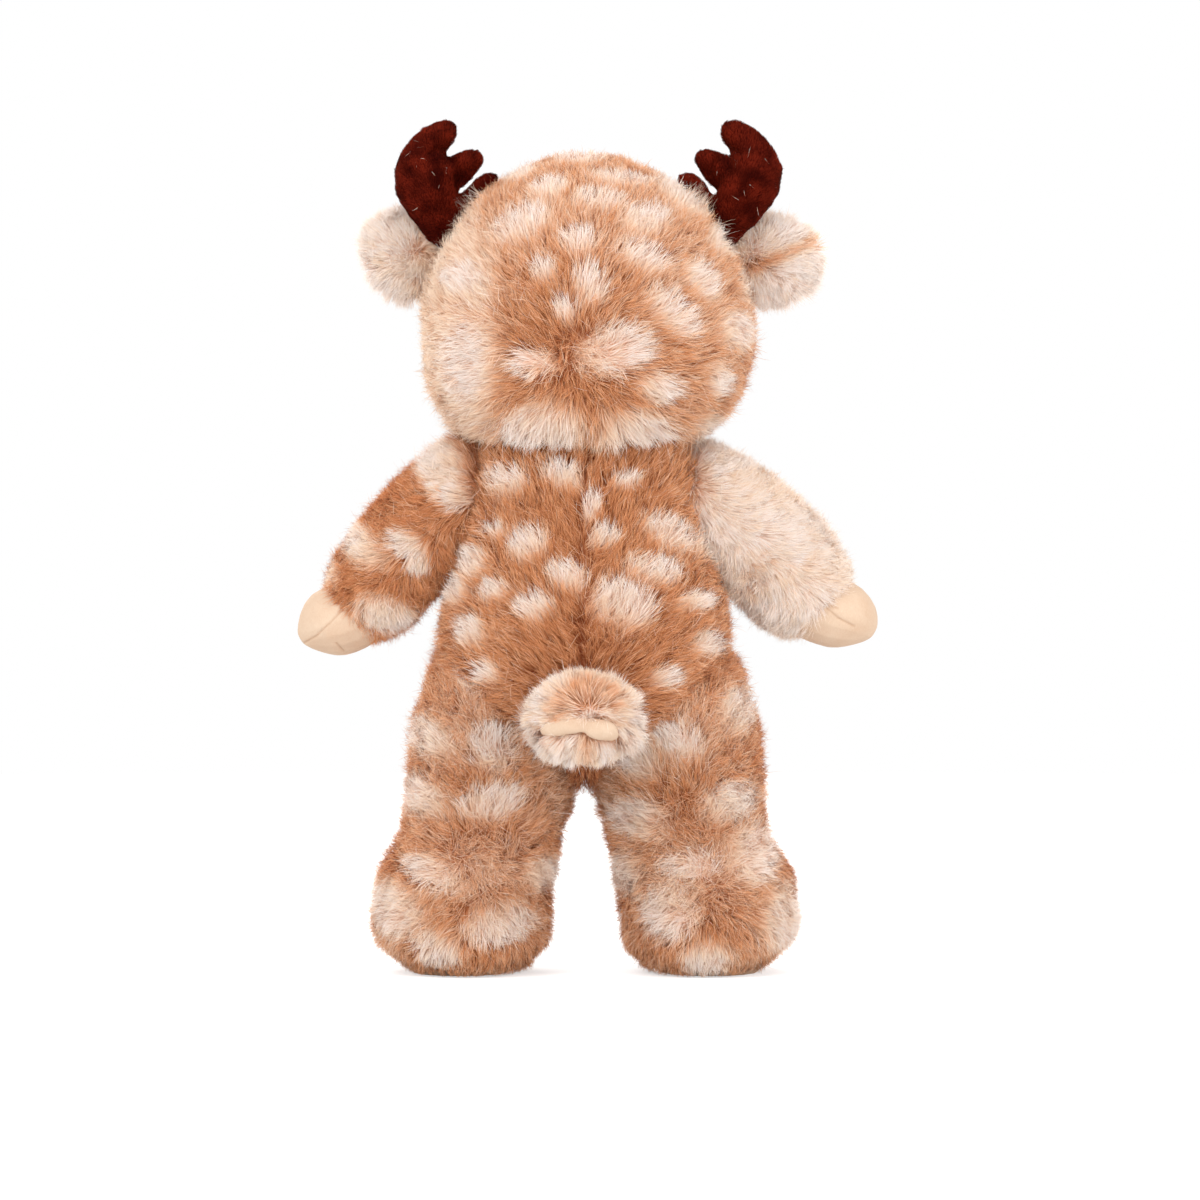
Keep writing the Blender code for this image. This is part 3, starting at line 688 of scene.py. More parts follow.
def head_shade(points, normals, rng):
    close = np.hypot(points[:, 0] - whorl_x, points[:, 2] - whorl_z) / WHORL_SHADE_REACH
    base = 0.25 + 0.26 * np.clip(close, 0, 1) + rng.normal(0, 0.11, len(points))
    edge = cream_x + 0.35 * np.clip(points[:, 2] - CREAM_TURN_HEIGHT, 0, 1)
    edge += rng.normal(0, CREAM_RAGGEDNESS, len(points))
    cream = np.clip((points[:, 0] - edge) / CREAM_BLEND + 0.5, 0, 1) * (points[:, 1] > CREAM_FRONT)
    base = base + (0.80 - base) * cream
    white = np.maximum(
        spotted(points, normals, HEAD_SPOTS, rng, head_comb(points, normals)),
        scattered_spots(head, points, normals, rng, 12, behind=-0.1) * 0.95,
    )
    near_muzzle = np.linalg.norm(points - np.array(MUZZLE_PLACE), axis=1)
    white = np.maximum(white, fade(near_muzzle, MUZZLE_WHITE, -MUZZLE_WHITE_BLEND) * 0.7)
    return base + (1 - base) * white


def off_antlers(points):
    """How far each point lies from the seams that hold the antlers."""
    start, finish = (np.array(photo_point(*pixel)) for pixel in ANTLER_SEAM)
    flat = np.stack([np.abs(points[:, 0]), points[:, 2]], 1) - start
    along = np.clip(flat @ (finish - start) / ((finish - start) @ (finish - start)), 0, 1)
    off = flat - along[:, None] * (finish - start)
    return np.hypot(np.linalg.norm(off, axis=1), points[:, 1] * 0.5 - ANTLER_SEAM_DEPTH)


def head_trim(points, normals):
    left = np.ones(len(points))
    for eye in eye_places:
        apart = np.linalg.norm(points - eye, axis=1)
        left = np.minimum(left, fade(apart, EYE_RIM, EYE_SHEARING) * 0.9 + 0.1)
        left[apart < EYE_HOLE] = 0
    apart = np.linalg.norm((points - np.array(MUZZLE_PLACE)) * np.array((0.85, 1, 1)), axis=1)
    left = np.minimum(left, np.clip((apart - MUZZLE_RIM) / MUZZLE_SHEARING, 0.18, 1))
    left[(apart < MUZZLE_HOLE) & (normals[:, 1] < 0)] = 0
    left[(normals[:, 2] < -0.9) & (points[:, 2] < head_low[2] + UNDER_CHIN)] *= 0.5
    crown = fade(points[:, 2], CROWN_HEIGHT, CROWN_BLEND)
    crown *= off_antlers(points) > ANTLER_CLEARANCE
    nape = fade(points[:, 2], NAPE_HEIGHT, -NAPE_BLEND) * (points[:, 1] > NAPE_FRONT)
    return left * (1 - 0.35 * crown) * (1 + (NECK_FRINGE - 1) * nape)


def tall_trim(points, normals):
    kept = off_antlers(points) < ANTLER_HAIR_REACH
    return kept * np.interp(np.abs(points[:, 0]), ANTLER_HAIR_OUTER, (0.75, 1))


def tall_shade(points, normals, rng):
    return rng.normal(0.85, 0.1, len(points))


back_with(head, head_shade)
two_piles("head", head, "head", head_comb, head_shade, 31, (66000, 65000), head_trim)
pile(
    "head_fur_tall", head, "head", head_comb, tall_shade, 33,
    trim=tall_trim, count=40000, length=TALL_LENGTH, width=TALL_WIDTH, stand=0.9,
)

# Legs: each is one long-pile cover from hip to toe, stuffed firm, with a flat velour
# sole sewn in. The pile spreads from the middle of the back and down over the heel.
LEG_SPOTS = (
    (473, 670, 12, 24, -15), (430, 737, 24, 15, 35), (495, 745, 18, 20, 10), (425, 795, 26, 15, 20),
    (492, 800, 26, 14, -10), (436, 868, 24, 12, 20), (500, 918, 28, 15, -10), (400, 905, 26, 20, 40),
    (440, 940, 20, 14, 20), (545, 870, 16, 14, 0), (676, 740, 20, 14, 20), (735, 710, 14, 20, 0),
    (640, 760, 16, 14, 20), (725, 800, 24, 17, -20), (640, 815, 24, 16, 10), (690, 860, 22, 12, 0),
    (670, 905, 22, 24, -20), (750, 850, 22, 24, 20), (625, 870, 14, 18, 0), (780, 910, 18, 28, 0),
    (705, 950, 20, 14, 0),
)
HEEL_HEIGHT = 0.055
HEEL_BLEND = 0.05
LEG_MIDDLE = 0.052
LEG_HALF_WIDTH = 0.04
CALF_MIDDLE = 0.046
FOOT_TOP = 0.1
FLOOR_BEND_HEIGHT = 0.016
FLOOR_BEND_BLEND = 0.010
FLOOR_TRIM_HEIGHT = 0.020
SOLE_EDGE_HEIGHT = 0.006
LEG_SPOT_SIZE = 0.011
# The row of the photograph, then pixels off the outer edge and off the inner edge
LEG_TAKEN_IN = (
    (650, 18, 0), (690, 13, 0), (720, 5, 0), (780, 4, 1), (820, 9, 4), (845, 8, 5),
    (870, 0, 5), (935, 1, 7), (945, 5, 9), (955, 13, 13), (970, 18, 17),
)


def leg_comb(points, normals):
    splay = 0.15 * np.clip(FOOT_TOP - points[:, 2], 0, FOOT_TOP)
    middle = np.sign(points[:, 0]) * (CALF_MIDDLE + splay)
    outward = np.zeros_like(points)
    outward[:, 0] = (points[:, 0] - middle) / LEG_HALF_WIDTH
    outward[:, 1] = np.where(points[:, 1] < 0, -0.4, 0.2)
    outward[:, 2] = np.clip((points[:, 2] - HEEL_HEIGHT) / HEEL_BLEND, -1, 0.5) * 0.8
    outward[:, 2] -= 3 * fade(points[:, 2], FLOOR_BEND_HEIGHT, -FLOOR_BEND_BLEND)
    return unit(outward) * np.clip(np.linalg.norm(outward, axis=1, keepdims=True) / 0.5, 0.3, 1)


def leg_shade_on(leg, seed):
    def shade(points, normals, rng):
        base = 0.45 + 0.13 * np.sin(points[:, 2] * 90) * np.cos(points[:, 0] * 60)
        base += rng.normal(0, 0.12, len(points))
        white = np.maximum(
            spotted(points, normals, LEG_SPOTS, rng, leg_comb(points, normals)),
            scattered_spots(leg, points, normals, rng, seed, size=LEG_SPOT_SIZE, behind=-0.1),
        )
        return base + (0.98 - base) * white

    return shade


def leg_trim(points, normals):
    left = np.clip(points[:, 2] / FLOOR_TRIM_HEIGHT, 0.62, 1)
    left[(normals[:, 2] < -0.9) & (points[:, 2] < SOLE_EDGE_HEIGHT)] = 0
    return left


for number, (side, sign) in enumerate((("left", 1), ("right", -1))):
    leg = soft_skin(f"{side}_leg_cover", f"{side}_leg", f"{side}_leg_stuffing")
    outer = [(row, off, inner) if sign > 0 else (row, inner, off) for row, off, inner in LEG_TAKEN_IN]
    taken_in(leg, sign * LEG_MIDDLE, outer, LEG_HALF_WIDTH)
    dressed(leg, f"{side}_leg", "caramel_fur", f"{side}_leg", f"{side}_leg_stuffing")
    shade = leg_shade_on(leg, 40 + number)
    back_with(leg, shade)
    two_piles(
        f"{side}_leg", leg, f"{side}_leg", leg_comb, shade, 42 + number,
        (66000, 46000), leg_trim,
    )

# Arms: long-pile covers sewn into the armholes. The toy's left arm is caramel with
# white spots, and its right one is cream all over.
ARM_SPOTS = (
    (447, 470, 20, 26, -30), (462, 497, 14, 12, 0), (365, 545, 26, 14, 35), (412, 545, 16, 10, 30),
    (330, 572, 12, 14, 0), (386, 610, 24, 14, 10), (420, 560, 10, 8, 0),
)
SHOULDER_COLUMN = 470
SHOULDER_ROW = 500
CUFF_COLUMN = 352
CUFF_ROW = 600
ARM_VOXEL = 0.0022
ARM_FAN = 0.02
ARM_TOP = 0.245
ARM_TOP_BLEND = 0.012
LEAN_LENGTH = 0.030
ARM_ELBOW = np.array((0.085, 0, 0))
# The right hoof is held a little higher and farther out
RIGHT_ARM_LEAN = np.array((-0.0025, 0, 0.0035))


def leaned(skin, root, lean):
    """Bends a sewn-on piece: by nothing at its root, and by all of lean farther out."""
    points, normals = skin_arrays(skin)
    axis = np.flatnonzero(root)[0]
    out = np.abs(points[:, axis]) - abs(root[axis])
    points += np.clip(out / LEAN_LENGTH, 0, 1)[:, None] * lean
    move_points(skin, points)


def arm_comb_on(sign):
    shoulder = np.array(photo_point(SHOULDER_COLUMN, SHOULDER_ROW))
    cuff = np.array(photo_point(CUFF_COLUMN, CUFF_ROW))
    line = (cuff - shoulder) / np.linalg.norm(cuff - shoulder)

    def comb(points, normals):
        flat = np.stack([points[:, 0] * sign, points[:, 2]], 1) - shoulder
        off = flat - (flat @ line)[:, None] * line
        lie = np.zeros_like(points)
        lie[:, 0] = (off[:, 0] / ARM_FAN + line[0] * 0.35) * sign
        lie[:, 2] = off[:, 1] / ARM_FAN + line[1] * 0.35
        return unit(lie)

    return comb


def spotted_arm_shade(points, normals, rng):
    base = 0.24 + rng.normal(0, 0.12, len(points))
    white = np.maximum(
        spotted(points, normals, ARM_SPOTS, rng, arm_comb_on(1)(points, normals)),
        scattered_spots(arm, points, normals, rng, 51, behind=-0.1),
    )
    return base + (0.98 - base) * white


def cream_arm_shade(points, normals, rng):
    return 0.92 + rng.normal(0, 0.05, len(points)) + 0.04 * np.sin(points[:, 2] * 150)


def arm_trim(points, normals):
    """Longer pile over the left shoulder, and shorter over the right one."""
    change = np.where(points[:, 0] > 0, 0.3, -0.25)
    return 1 + change * fade(points[:, 2], ARM_TOP, ARM_TOP_BLEND)


for side, sign, shade in (("left", 1, spotted_arm_shade), ("right", -1, cream_arm_shade)):
    slot = {"left": "caramel_fur", "right": "cream_fur"}[side]
    arm = soft_skin(f"{side}_arm_cover", f"{side}_arm", f"{side}_arm_stuffing", voxel=ARM_VOXEL)
    if side == "right":
        leaned(arm, ARM_ELBOW, RIGHT_ARM_LEAN)
    back_with(arm, shade)
    dressed(arm, f"{side}_arm", slot, f"{side}_arm", f"{side}_arm_stuffing")
    comb = arm_comb_on(sign)
    tousle = 1.0 if side == "left" else 0.7
    two_piles(
        f"{side}_arm", arm, f"{side}_arm", comb, shade, 53 + sign, (66000, 30000), arm_trim,
        clump=tousle,
    )

# Hoofs: each is two shaped panels of pale velour, sewn together along the middle of its
# back, turned, stuffed firm and sewn into the arm's cuff.
HOOF_VOXEL = 0.0006
SEAM_DEPTH = 0.0006
SEAM_WIDTH = 0.00045
HOOF_SEAMS = {
    "left": (
        ((356, 595), (344, 610), (333, 622), (318, 636), (299, 646)),
        ((345, 651), (342, 647), (338, 643)),
    ),
    "right": (
        ((816, 597), (826, 609), (836, 618), (852, 626)),
        ((822, 602), (829, 606), (835, 608)),
    ),
}
# The size and the depth of the lumps that the filling leaves
HOOF_LUMPS = (0.013, 0.0006)
VELOUR_GRAIN = 0.0006


def velour(name, deep, face, sheen_patches, contrast, sheen, gloss=0.15):
    """Short cut pile: a fine grain, painted sheen in patches where the nap would catch the light, and
    painted shade along seams, creases and folds.
    """
    cloth, nodes, links, shader = shaded(name)
    shader.inputs["Roughness"].default_value = 0.88
    shader.inputs["Specular IOR Level"].default_value = gloss
    shader.inputs["Sheen Weight"].default_value = sheen
    shader.inputs["Sheen Roughness"].default_value = 0.45
    shader.inputs["Sheen Tint"].default_value = (*face, 1)
    place = nodes.new("ShaderNodeTexCoord")
    nap_lie = nodes.new("ShaderNodeMapping")
    nap_lie.inputs["Scale"].default_value = (1, 1, 0.5)
    nap_lie.inputs["Rotation"].default_value = (0, 0.7, 0)
    links.new(place.outputs["Object"], nap_lie.inputs["Vector"])
    fibres = mottle(nodes, VELOUR_GRAIN, 3)
    fibres.inputs["Roughness"].default_value = 0.65
    links.new(nap_lie.outputs["Vector"], fibres.inputs["Vector"])
    # Painted sheen: noise patches where the cloth is paler, as where its nap catches the light.
    patches = mottle(nodes, sheen_patches)
    links.new(place.outputs["Object"], patches.inputs["Vector"])
    both = nodes.new("ShaderNodeMath")
    both.operation = "ADD"
    links.new(fibres.outputs["Fac"], both.inputs[0])
    links.new(patches.outputs["Fac"], both.inputs[1])
    spread = nodes.new("ShaderNodeMapRange")
    spread.inputs["From Min"].default_value = 1 - contrast
    spread.inputs["From Max"].default_value = 1 + contrast
    links.new(both.outputs["Value"], spread.inputs["Value"])
    dye = dye_ramp(nodes, links, spread.outputs["Result"], ((0.0, deep), (1.0, face)))
    # Painted shade: the colour goes deeper along marked seams, creases and folds.
    seam = nodes.new("ShaderNodeAttribute")
    seam.attribute_name = "seam"
    pressed = nodes.new("ShaderNodeMath")
    pressed.operation = "MULTIPLY"
    pressed.inputs[1].default_value = 0.32
    links.new(seam.outputs["Fac"], pressed.inputs[0])
    seam_shade_mix = nodes.new("ShaderNodeMix")
    seam_shade_mix.data_type = "RGBA"
    seam_shade_mix.inputs["B"].default_value = (deep[0] * 0.7, deep[1] * 0.5, deep[2] * 0.35, 1)
    links.new(pressed.outputs["Value"], seam_shade_mix.inputs["Factor"])
    links.new(dye, seam_shade_mix.inputs["A"])
    links.new(seam_shade_mix.outputs["Result"], shader.inputs["Base Color"])
    relief = nodes.new("ShaderNodeBump")
    relief.inputs["Strength"].default_value = 0.5
    relief.inputs["Distance"].default_value = VELOUR_GRAIN / 3
    links.new(fibres.outputs["Fac"], relief.inputs["Height"])
    links.new(relief.outputs["Normal"], shader.inputs["Normal"])
    return cloth


def mark_seam_shade(skin, press):
    """Keeps on a skin how near each point is to a line of stitches, for painted shade that deepens the
    cloth's colour there.
    """
    mark = skin.data.attributes.get("seam") or skin.data.attributes.new("seam", "FLOAT", "POINT")
    before = np.empty(len(press))
    mark.data.foreach_get("value", before)
    mark.data.foreach_set("value", np.maximum(before, press))


def pressed_seam(skin, places, facing=1, depth=SEAM_DEPTH, half_width=SEAM_WIDTH):
    """Draws a skin in along a line across its back, or its front where facing is -1, and marks painted
    shade along it.
    """
    points, normals = skin_arrays(skin)
    places = np.array(places)
    flat = points[:, [0, 2]]
    off = np.ones(len(points))
    for start, finish in zip(places, places[1:]):
        leg = finish - start
        along = np.clip((flat - start) @ leg / (leg @ leg), 0, 1)
        off = np.minimum(off, np.linalg.norm(flat - start - along[:, None] * leg, axis=1))
    press = np.exp(-((off / half_width) ** 2)) * np.clip(normals[:, 1] * facing * 3, 0, 1)
    points -= normals * (press * depth)[:, None]
    mark_seam_shade(skin, press)
    move_points(skin, points)


def hand_stuffed(skin, size, depth, seed):
    """Leaves a skin slightly uneven, as filling pushed in by hand does."""
    points, normals = skin_arrays(skin)
    shift = Vector((seed, 0, 0))
    swell = np.array([noise.noise(Vector(point) / size + shift) for point in points])
    points += normals * (swell * depth)[:, None]
    move_points(skin, points)


def sewn_flat(skin, body, replaced):
    """Gives a flat piece its pale velour and hangs it on its body in place of its solid."""
    skin.data.materials.append(PALE_VELOUR)
    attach(skin, body)
    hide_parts(replaced)


PALE_VELOUR = velour(
    "pale_velour", (0.65, 0.44, 0.30), (0.755, 0.585, 0.44), sheen_patches=0.012, contrast=0.5, sheen=0.15
)

for side in ("left", "right"):
    hoof = soft_skin(f"{side}_hoof_cover", f"{side}_hoof", f"{side}_hoof_stuffing", voxel=HOOF_VOXEL)
    hand_stuffed(hoof, *HOOF_LUMPS, 3)
    if side == "right":
        leaned(hoof, ARM_ELBOW, RIGHT_ARM_LEAN)
    # Seams pressed in, with painted shade along them.
    for line in HOOF_SEAMS[side]:
        pressed_seam(hoof, [photo_point(*pixel) for pixel in line])
    hoof.data.materials.append(PALE_VELOUR)
    dressed(hoof, f"{side}_arm", "cream_velour", f"{side}_hoof", f"{side}_hoof_stuffing")

# Soles: a flat oval of the same velour under each foot, stitched round its edge.
SOLE_STITCH_INSET = 0.0035
SOLE_SHRINKAGE = 0.80
SOLE_VOXEL = 0.0009

for side in ("left", "right"):
    sole = soft_skin(f"{side}_sole_cover", f"{side}_sole", voxel=SOLE_VOXEL, rounds=2)
    points, normals = skin_arrays(sole)
    middle = (points.min(0) + points.max(0)) / 2
    points[:, :2] = middle[:2] + (points[:, :2] - middle[:2]) * SOLE_SHRINKAGE
    flat = points * np.array((1, 1, 0))
    rim = tree_of(flat[np.abs(normals[:, 2]) < 0.5])
    inset = np.array([rim.find(place)[2] for place in flat])
    press = np.exp(-(((inset - SOLE_STITCH_INSET) / SEAM_WIDTH) ** 2)) * (normals[:, 2] < -0.5)
    points[:, 2] += press * SEAM_DEPTH
    # Painted shade along the stitched groove round the sole.
    mark_seam_shade(sole, press)
    move_points(sole, points)
    sewn_flat(sole, f"{side}_leg", f"{side}_sole")

# Antlers: two shapes of dark red-brown velour, sewn face to face round the edge, turned,
# lightly stuffed and sewn upright into the top of the head. The nap runs along the tines.
ANTLER_VOXEL = 0.0008
ANTLER_FOOT = (442, 228)
# Creases at the roots of the tines, as columns and rows of the photograph
ANTLER_CREASES = (
    ((447, 157), (453, 165), (458, 174), (460, 186)),
    ((459, 190), (462, 197), (463, 206)),
    ((431, 158), (441, 152), (447, 155)),
)
ANTLER_ROOT = np.array((0, 0, 0.370))
RIGHT_ANTLER_LEAN = np.array((-0.0040, 0, 0))
PUCKER_SPACING = 0.0019
PUCKER_DEPTH = 0.00035
NAP_LENGTH = 0.0019
NAP_WIDTH = 0.00017
STRAY_COUNT = 26
STRAY_LENGTH = 0.0045
STRAY_WIDTH = 0.00012
ANTLER_LUMPS = (0.009, 0.0007)
CREASE_DEPTH = 0.0016
CREASE_HALF_WIDTH = 0.0011
ANTLER_SPREAD = 0.002
ANTLER_SPREAD_START = 0.070
ANTLER_SPREAD_BLEND = 0.020
# The gap over the lowest tine, and how many pixels lower the tine's upper edge is sewn
# than it was cut, by column of the photograph
GAP_COLUMN = 459.6
GAP_ROW = 181
GAP_SLOPE = -0.567
GAP_BLEND = 1.5
TINE_FOOT_ROW = 214
TINE_FOOT_BLEND = 22
TINE_LOWERED = ((449, 0), (459, 10), (466, 8), (475, 3), (483, 0))

ANTLER_VELOUR = velour(
    "antler_velour", (0.022, 0.0007, 0.0003), (0.085, 0.005, 0.0015),
    sheen_patches=0.007, contrast=0.45, sheen=0.05, gloss=0.02,
)
ANTLER_NAP = dyed_pile(
    "antler_nap",
    ((0.0, (0.016, 0.0005, 0.0002)), (1.0, (0.080, 0.005, 0.0016))),
    ((0.0, (0.030, 0.0010, 0.0004)), (1.0, (0.27, 0.024, 0.009))),
    gloss=0.03,
    sheen=0.08,
    sheen_tint=(0.9, 0.16, 0.07),
)


def antler_comb_on(sign):
    x, z = photo_point(*ANTLER_FOOT)
    foot = np.array((x * sign, 0, z))

    def comb(points, normals):
        return unit((points - foot) * np.array((1, 0.2, 1)))

    return comb


def nap_painted_sheen(points, normals, rng):
    # Painted sheen: the nap is paler in noise patches, as where it faces the light.
    sheen_patches = np.array([noise.noise(Vector(point) * 130) for point in points])
    return 0.38 + 0.55 * sheen_patches + rng.normal(0, 0.16, len(points))


def white_shade(points, normals, rng):
    return np.ones(len(points))


for side, sign in (("left", 1), ("right", -1)):
    antler = soft_skin(
        f"{side}_antler_cover", f"{side}_antler", f"{side}_antler_stuffing", voxel=ANTLER_VOXEL, rounds=5
    )
    points, normals = skin_arrays(antler)
    column = MIDDLE_COLUMN - points[:, 0] * sign / PIXEL
    row = FLOOR_ROW - points[:, 2] / PIXEL
    below_gap = row - (GAP_ROW + (column - GAP_COLUMN) * GAP_SLOPE)
    lowered = np.interp(column, *np.array(TINE_LOWERED, float).T)
    lowered *= np.clip(below_gap / GAP_BLEND + 0.5, 0, 1)
    lowered *= fade(row, TINE_FOOT_ROW, -TINE_FOOT_BLEND)
    points[:, 2] -= lowered * PIXEL
    outer = fade(np.abs(points[:, 0]), ANTLER_SPREAD_START, ANTLER_SPREAD_BLEND)
    points[:, 0] += sign * ANTLER_SPREAD * outer
    move_points(antler, points)
    if side == "right":
        leaned(antler, ANTLER_ROOT, RIGHT_ANTLER_LEAN)
    hand_stuffed(antler, *ANTLER_LUMPS, 7)
    # Creases pressed in at the tine roots, with painted shade along them.
    for line in ANTLER_CREASES:
        places = [(x * sign, z) for x, z in (photo_point(*pixel) for pixel in line)]
        pressed_seam(antler, places, 1, CREASE_DEPTH, CREASE_HALF_WIDTH)
    points, normals = skin_arrays(antler)
    edge = np.clip(1 - np.abs(normals[:, 1]) / 0.5, 0, 1)
    along = (points[:, 2] - points[:, 0] * sign) / PUCKER_SPACING
    points -= normals * (edge * PUCKER_DEPTH * (1 + np.sin(math.tau * along)))[:, None]
    move_points(antler, points)
    antler.data.materials.append(ANTLER_VELOUR)
    dressed(antler, "head", "antler_velour", f"{side}_antler", f"{side}_antler_stuffing", fill=0.7)
    pile(
        f"{side}_antler_fur", antler, "head", antler_comb_on(sign), nap_painted_sheen,
        81 + sign, count=50000, length=NAP_LENGTH, width=NAP_WIDTH, stand=0.3, dyes=ANTLER_NAP,
        clump=0.25,
    )
    pile(
        f"{side}_antler_fur_strays", antler, "head", antler_comb_on(sign), white_shade,
        84 + sign, count=STRAY_COUNT, length=STRAY_LENGTH, width=STRAY_WIDTH, stand=0.1, clump=3.0,
    )

# Muzzle and nose: a short round of pale velour sewn to the face, with a dark velour nose
# and a mouth in dark thread. The photograph doesn't show them, so they are plain.
MOUTH_LINES = (
    ((0.0, 0.3045), (0.0, 0.3010), (0.0, 0.2975)),
    ((0.0, 0.2975), (0.0038, 0.2945), (0.0080, 0.2938), (0.0120, 0.2955)),
    ((0.0, 0.2975), (-0.0038, 0.2945), (-0.0080, 0.2938), (-0.0120, 0.2955)),
)
CHIN_SEAM = ((0.0, 0.2975), (0.0, 0.2790))
THREAD_RADIUS = 0.00055
MUZZLE_VOXEL = 0.0010
MUZZLE_LUMPS = (0.016, 0.0008)
MOUTH_DEPTH = 0.0012
MOUTH_HALF_WIDTH = 0.0013
NOSE_LUMPS = (0.006, 0.0003)
NOSE_NAP_LENGTH = 0.0012
STITCH_STATIONS = 7
STITCH_SIDES = 8

muzzle = soft_skin("muzzle_cover", "muzzle", "muzzle_stuffing", voxel=MUZZLE_VOXEL)
hand_stuffed(muzzle, *MUZZLE_LUMPS, 5)
# Mouth and chin grooves pressed in, with painted shade along them.
for line in (*MOUTH_LINES, CHIN_SEAM):
    pressed_seam(muzzle, line, -1, MOUTH_DEPTH, MOUTH_HALF_WIDTH)
muzzle.data.materials.append(PALE_VELOUR)
dressed(muzzle, "head", "cream_velour", "muzzle", "muzzle_stuffing")


def stitches(name, skin, lines, radius):
    """Long overlapping stitches of thread laid on a skin's front along lines."""
    bm = bmesh.new()
    surface = BVHTree.FromObject(skin, bpy.context.evaluated_depsgraph_get())
    for line in lines:
        for start, finish in zip(line, line[1:]):
            rings = []
            for station in range(STITCH_STATIONS):
                step = station / (STITCH_STATIONS - 1) * 1.24 - 0.12
                x = start[0] + (finish[0] - start[0]) * step
                z = start[1] + (finish[1] - start[1]) * step
                middle = surface.ray_cast(Vector((x, -1, z)), Vector((0, 1, 0)))[0]
                run = Vector((finish[0] - start[0], 0, finish[1] - start[1])).normalized()
                across = run.cross(Vector((0, 1, 0)))
                thick = radius * math.sqrt(max(1 - ((step - 0.5) / 0.63) ** 2, 0.02))
                ring = []
                for side in range(STITCH_SIDES):
                    turn = math.tau * side / STITCH_SIDES
                    lift = Vector((0, -math.cos(turn), 0)) * thick * 1.1
                    ring.append(bm.verts.new(middle + across * math.sin(turn) * thick + lift))
                rings.append(ring)
            for ring, following in zip(rings, rings[1:]):
                for side in range(STITCH_SIDES):
                    after = (side + 1) % STITCH_SIDES
                    bm.faces.new((ring[side], ring[after], following[after], following[side]))
            bm.faces.new(rings[0])
            bm.faces.new(reversed(rings[-1]))
    bmesh.ops.recalc_face_normals(bm, faces=bm.faces)
    thread = added(name, bm)
    thread.data.shade_smooth()
    return thread


NOSE_VELOUR = velour(
    "nose_velour", (0.022, 0.010, 0.006), (0.075, 0.032, 0.02),
    sheen_patches=0.006, contrast=0.5, sheen=0.1, gloss=0.1,
)
mouth = stitches("mouth_stitches", muzzle, MOUTH_LINES, THREAD_RADIUS)
mouth.data.materials.append(NOSE_VELOUR)
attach(mouth, "head")

nose = soft_skin("nose_cover", "nose", voxel=HOOF_VOXEL)
hand_stuffed(nose, *NOSE_LUMPS, 2)
nose.data.materials.append(NOSE_VELOUR)
dressed(nose, "head", "nose_velour", "nose")
NOSE_NAP = dyed_pile(
    "nose_nap",
    ((0.0, (0.014, 0.006, 0.004)), (1.0, (0.05, 0.022, 0.014))),
    ((0.0, (0.028, 0.012, 0.008)), (1.0, (0.11, 0.05, 0.032))),
    gloss=0.1,
    sheen=0.0,
)


def front_comb(points, normals):
    return unit((points - np.array(MUZZLE_PLACE)) * np.array((1, 0.3, 1)))


pile(
    "nose_fur", nose, "head", front_comb, nap_painted_sheen, 88,
    count=9000, length=NOSE_NAP_LENGTH, width=NAP_WIDTH, stand=0.5, dyes=NOSE_NAP,
)

# Eyes: domed caps of polished near-black plastic, each on a shank that goes through the
# cover to a moulded white washer inside the head.


def moulded(name, deep, face, roughness, shine, grain):
    """Moulded plastic with a faint cloud in its colour and fine wear in its gloss."""
    plastic, nodes, links, shader = shaded(name)
    shader.inputs["Specular IOR Level"].default_value = shine
    place = nodes.new("ShaderNodeTexCoord")
    cloud = mottle(nodes, grain, 4)
    links.new(place.outputs["Object"], cloud.inputs["Vector"])
    dye = dye_ramp(nodes, links, cloud.outputs["Fac"], ((0.3, deep), (0.7, face)))
    links.new(dye, shader.inputs["Base Color"])
    wear = nodes.new("ShaderNodeMapRange")
    wear.inputs["To Min"].default_value = roughness
    wear.inputs["To Max"].default_value = roughness * 1.8
    links.new(cloud.outputs["Fac"], wear.inputs["Value"])
    links.new(wear.outputs["Result"], shader.inputs["Roughness"])
    return plastic


EYE_PLASTIC = moulded(
    "eye_plastic", (0.004, 0.003, 0.002), (0.014, 0.008, 0.005), roughness=0.05, shine=0.22, grain=0.004
)
WASHER_PLASTIC = moulded(
    "washer_plastic", (0.78, 0.78, 0.77), (0.88, 0.88, 0.87), roughness=0.4, shine=0.5, grain=0.002
)
for side in ("left", "right"):
    for piece, plastic in ((f"{side}_eye", EYE_PLASTIC), (f"{side}_eye_washer", WASHER_PLASTIC)):
        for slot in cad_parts[piece].material_slots:
            slot.material = plastic

# Ears: a round of cream long pile behind and short velour in front, sewn flat to the
# sides of the head under the antlers.
EAR_MIDDLE = np.array((0.088, 0.0, 0.357))
EAR_WHORL = 0.012
EAR_WHORL_SHIFT = 0.004
EAR_RADIUS = 0.016
EAR_VOXEL = 0.0011
EAR_PILE_LENGTH = 0.0125
EAR_PILE_WIDTH = 0.00028
LINING_VOXEL = 0.0007
LINING_LUMPS = (0.010, 0.0007)
FOLD_DEPTH = 0.0011
FOLD_HALF_WIDTH = 0.0022
# The pile is peach near the ear's root: out to here, up to here, each with its blend
PEACH_EDGE = 0.086
PEACH_EDGE_BLEND = 0.012
PEACH_TOP = 0.368
PEACH_TOP_BLEND = 0.010
# The right ear's peach streak starts here and rises outwards
STREAK_START = (0.080, 0.350)
STREAK_SLOPE = 0.45
STREAK_HALF_WIDTH = 0.005
EAR_ROOT = np.array((0.072, 0, 0))
# The ears were sewn on a little unevenly
RIGHT_EAR_LEAN = np.array((-0.0075, 0, -0.0020))
LEFT_EAR_LEAN = np.array((0.0008, 0, 0.0035))
EAR_FOLD = ((0.0745, 0.3515), (0.081, 0.3535), (0.089, 0.3570), (0.097, 0.3615))


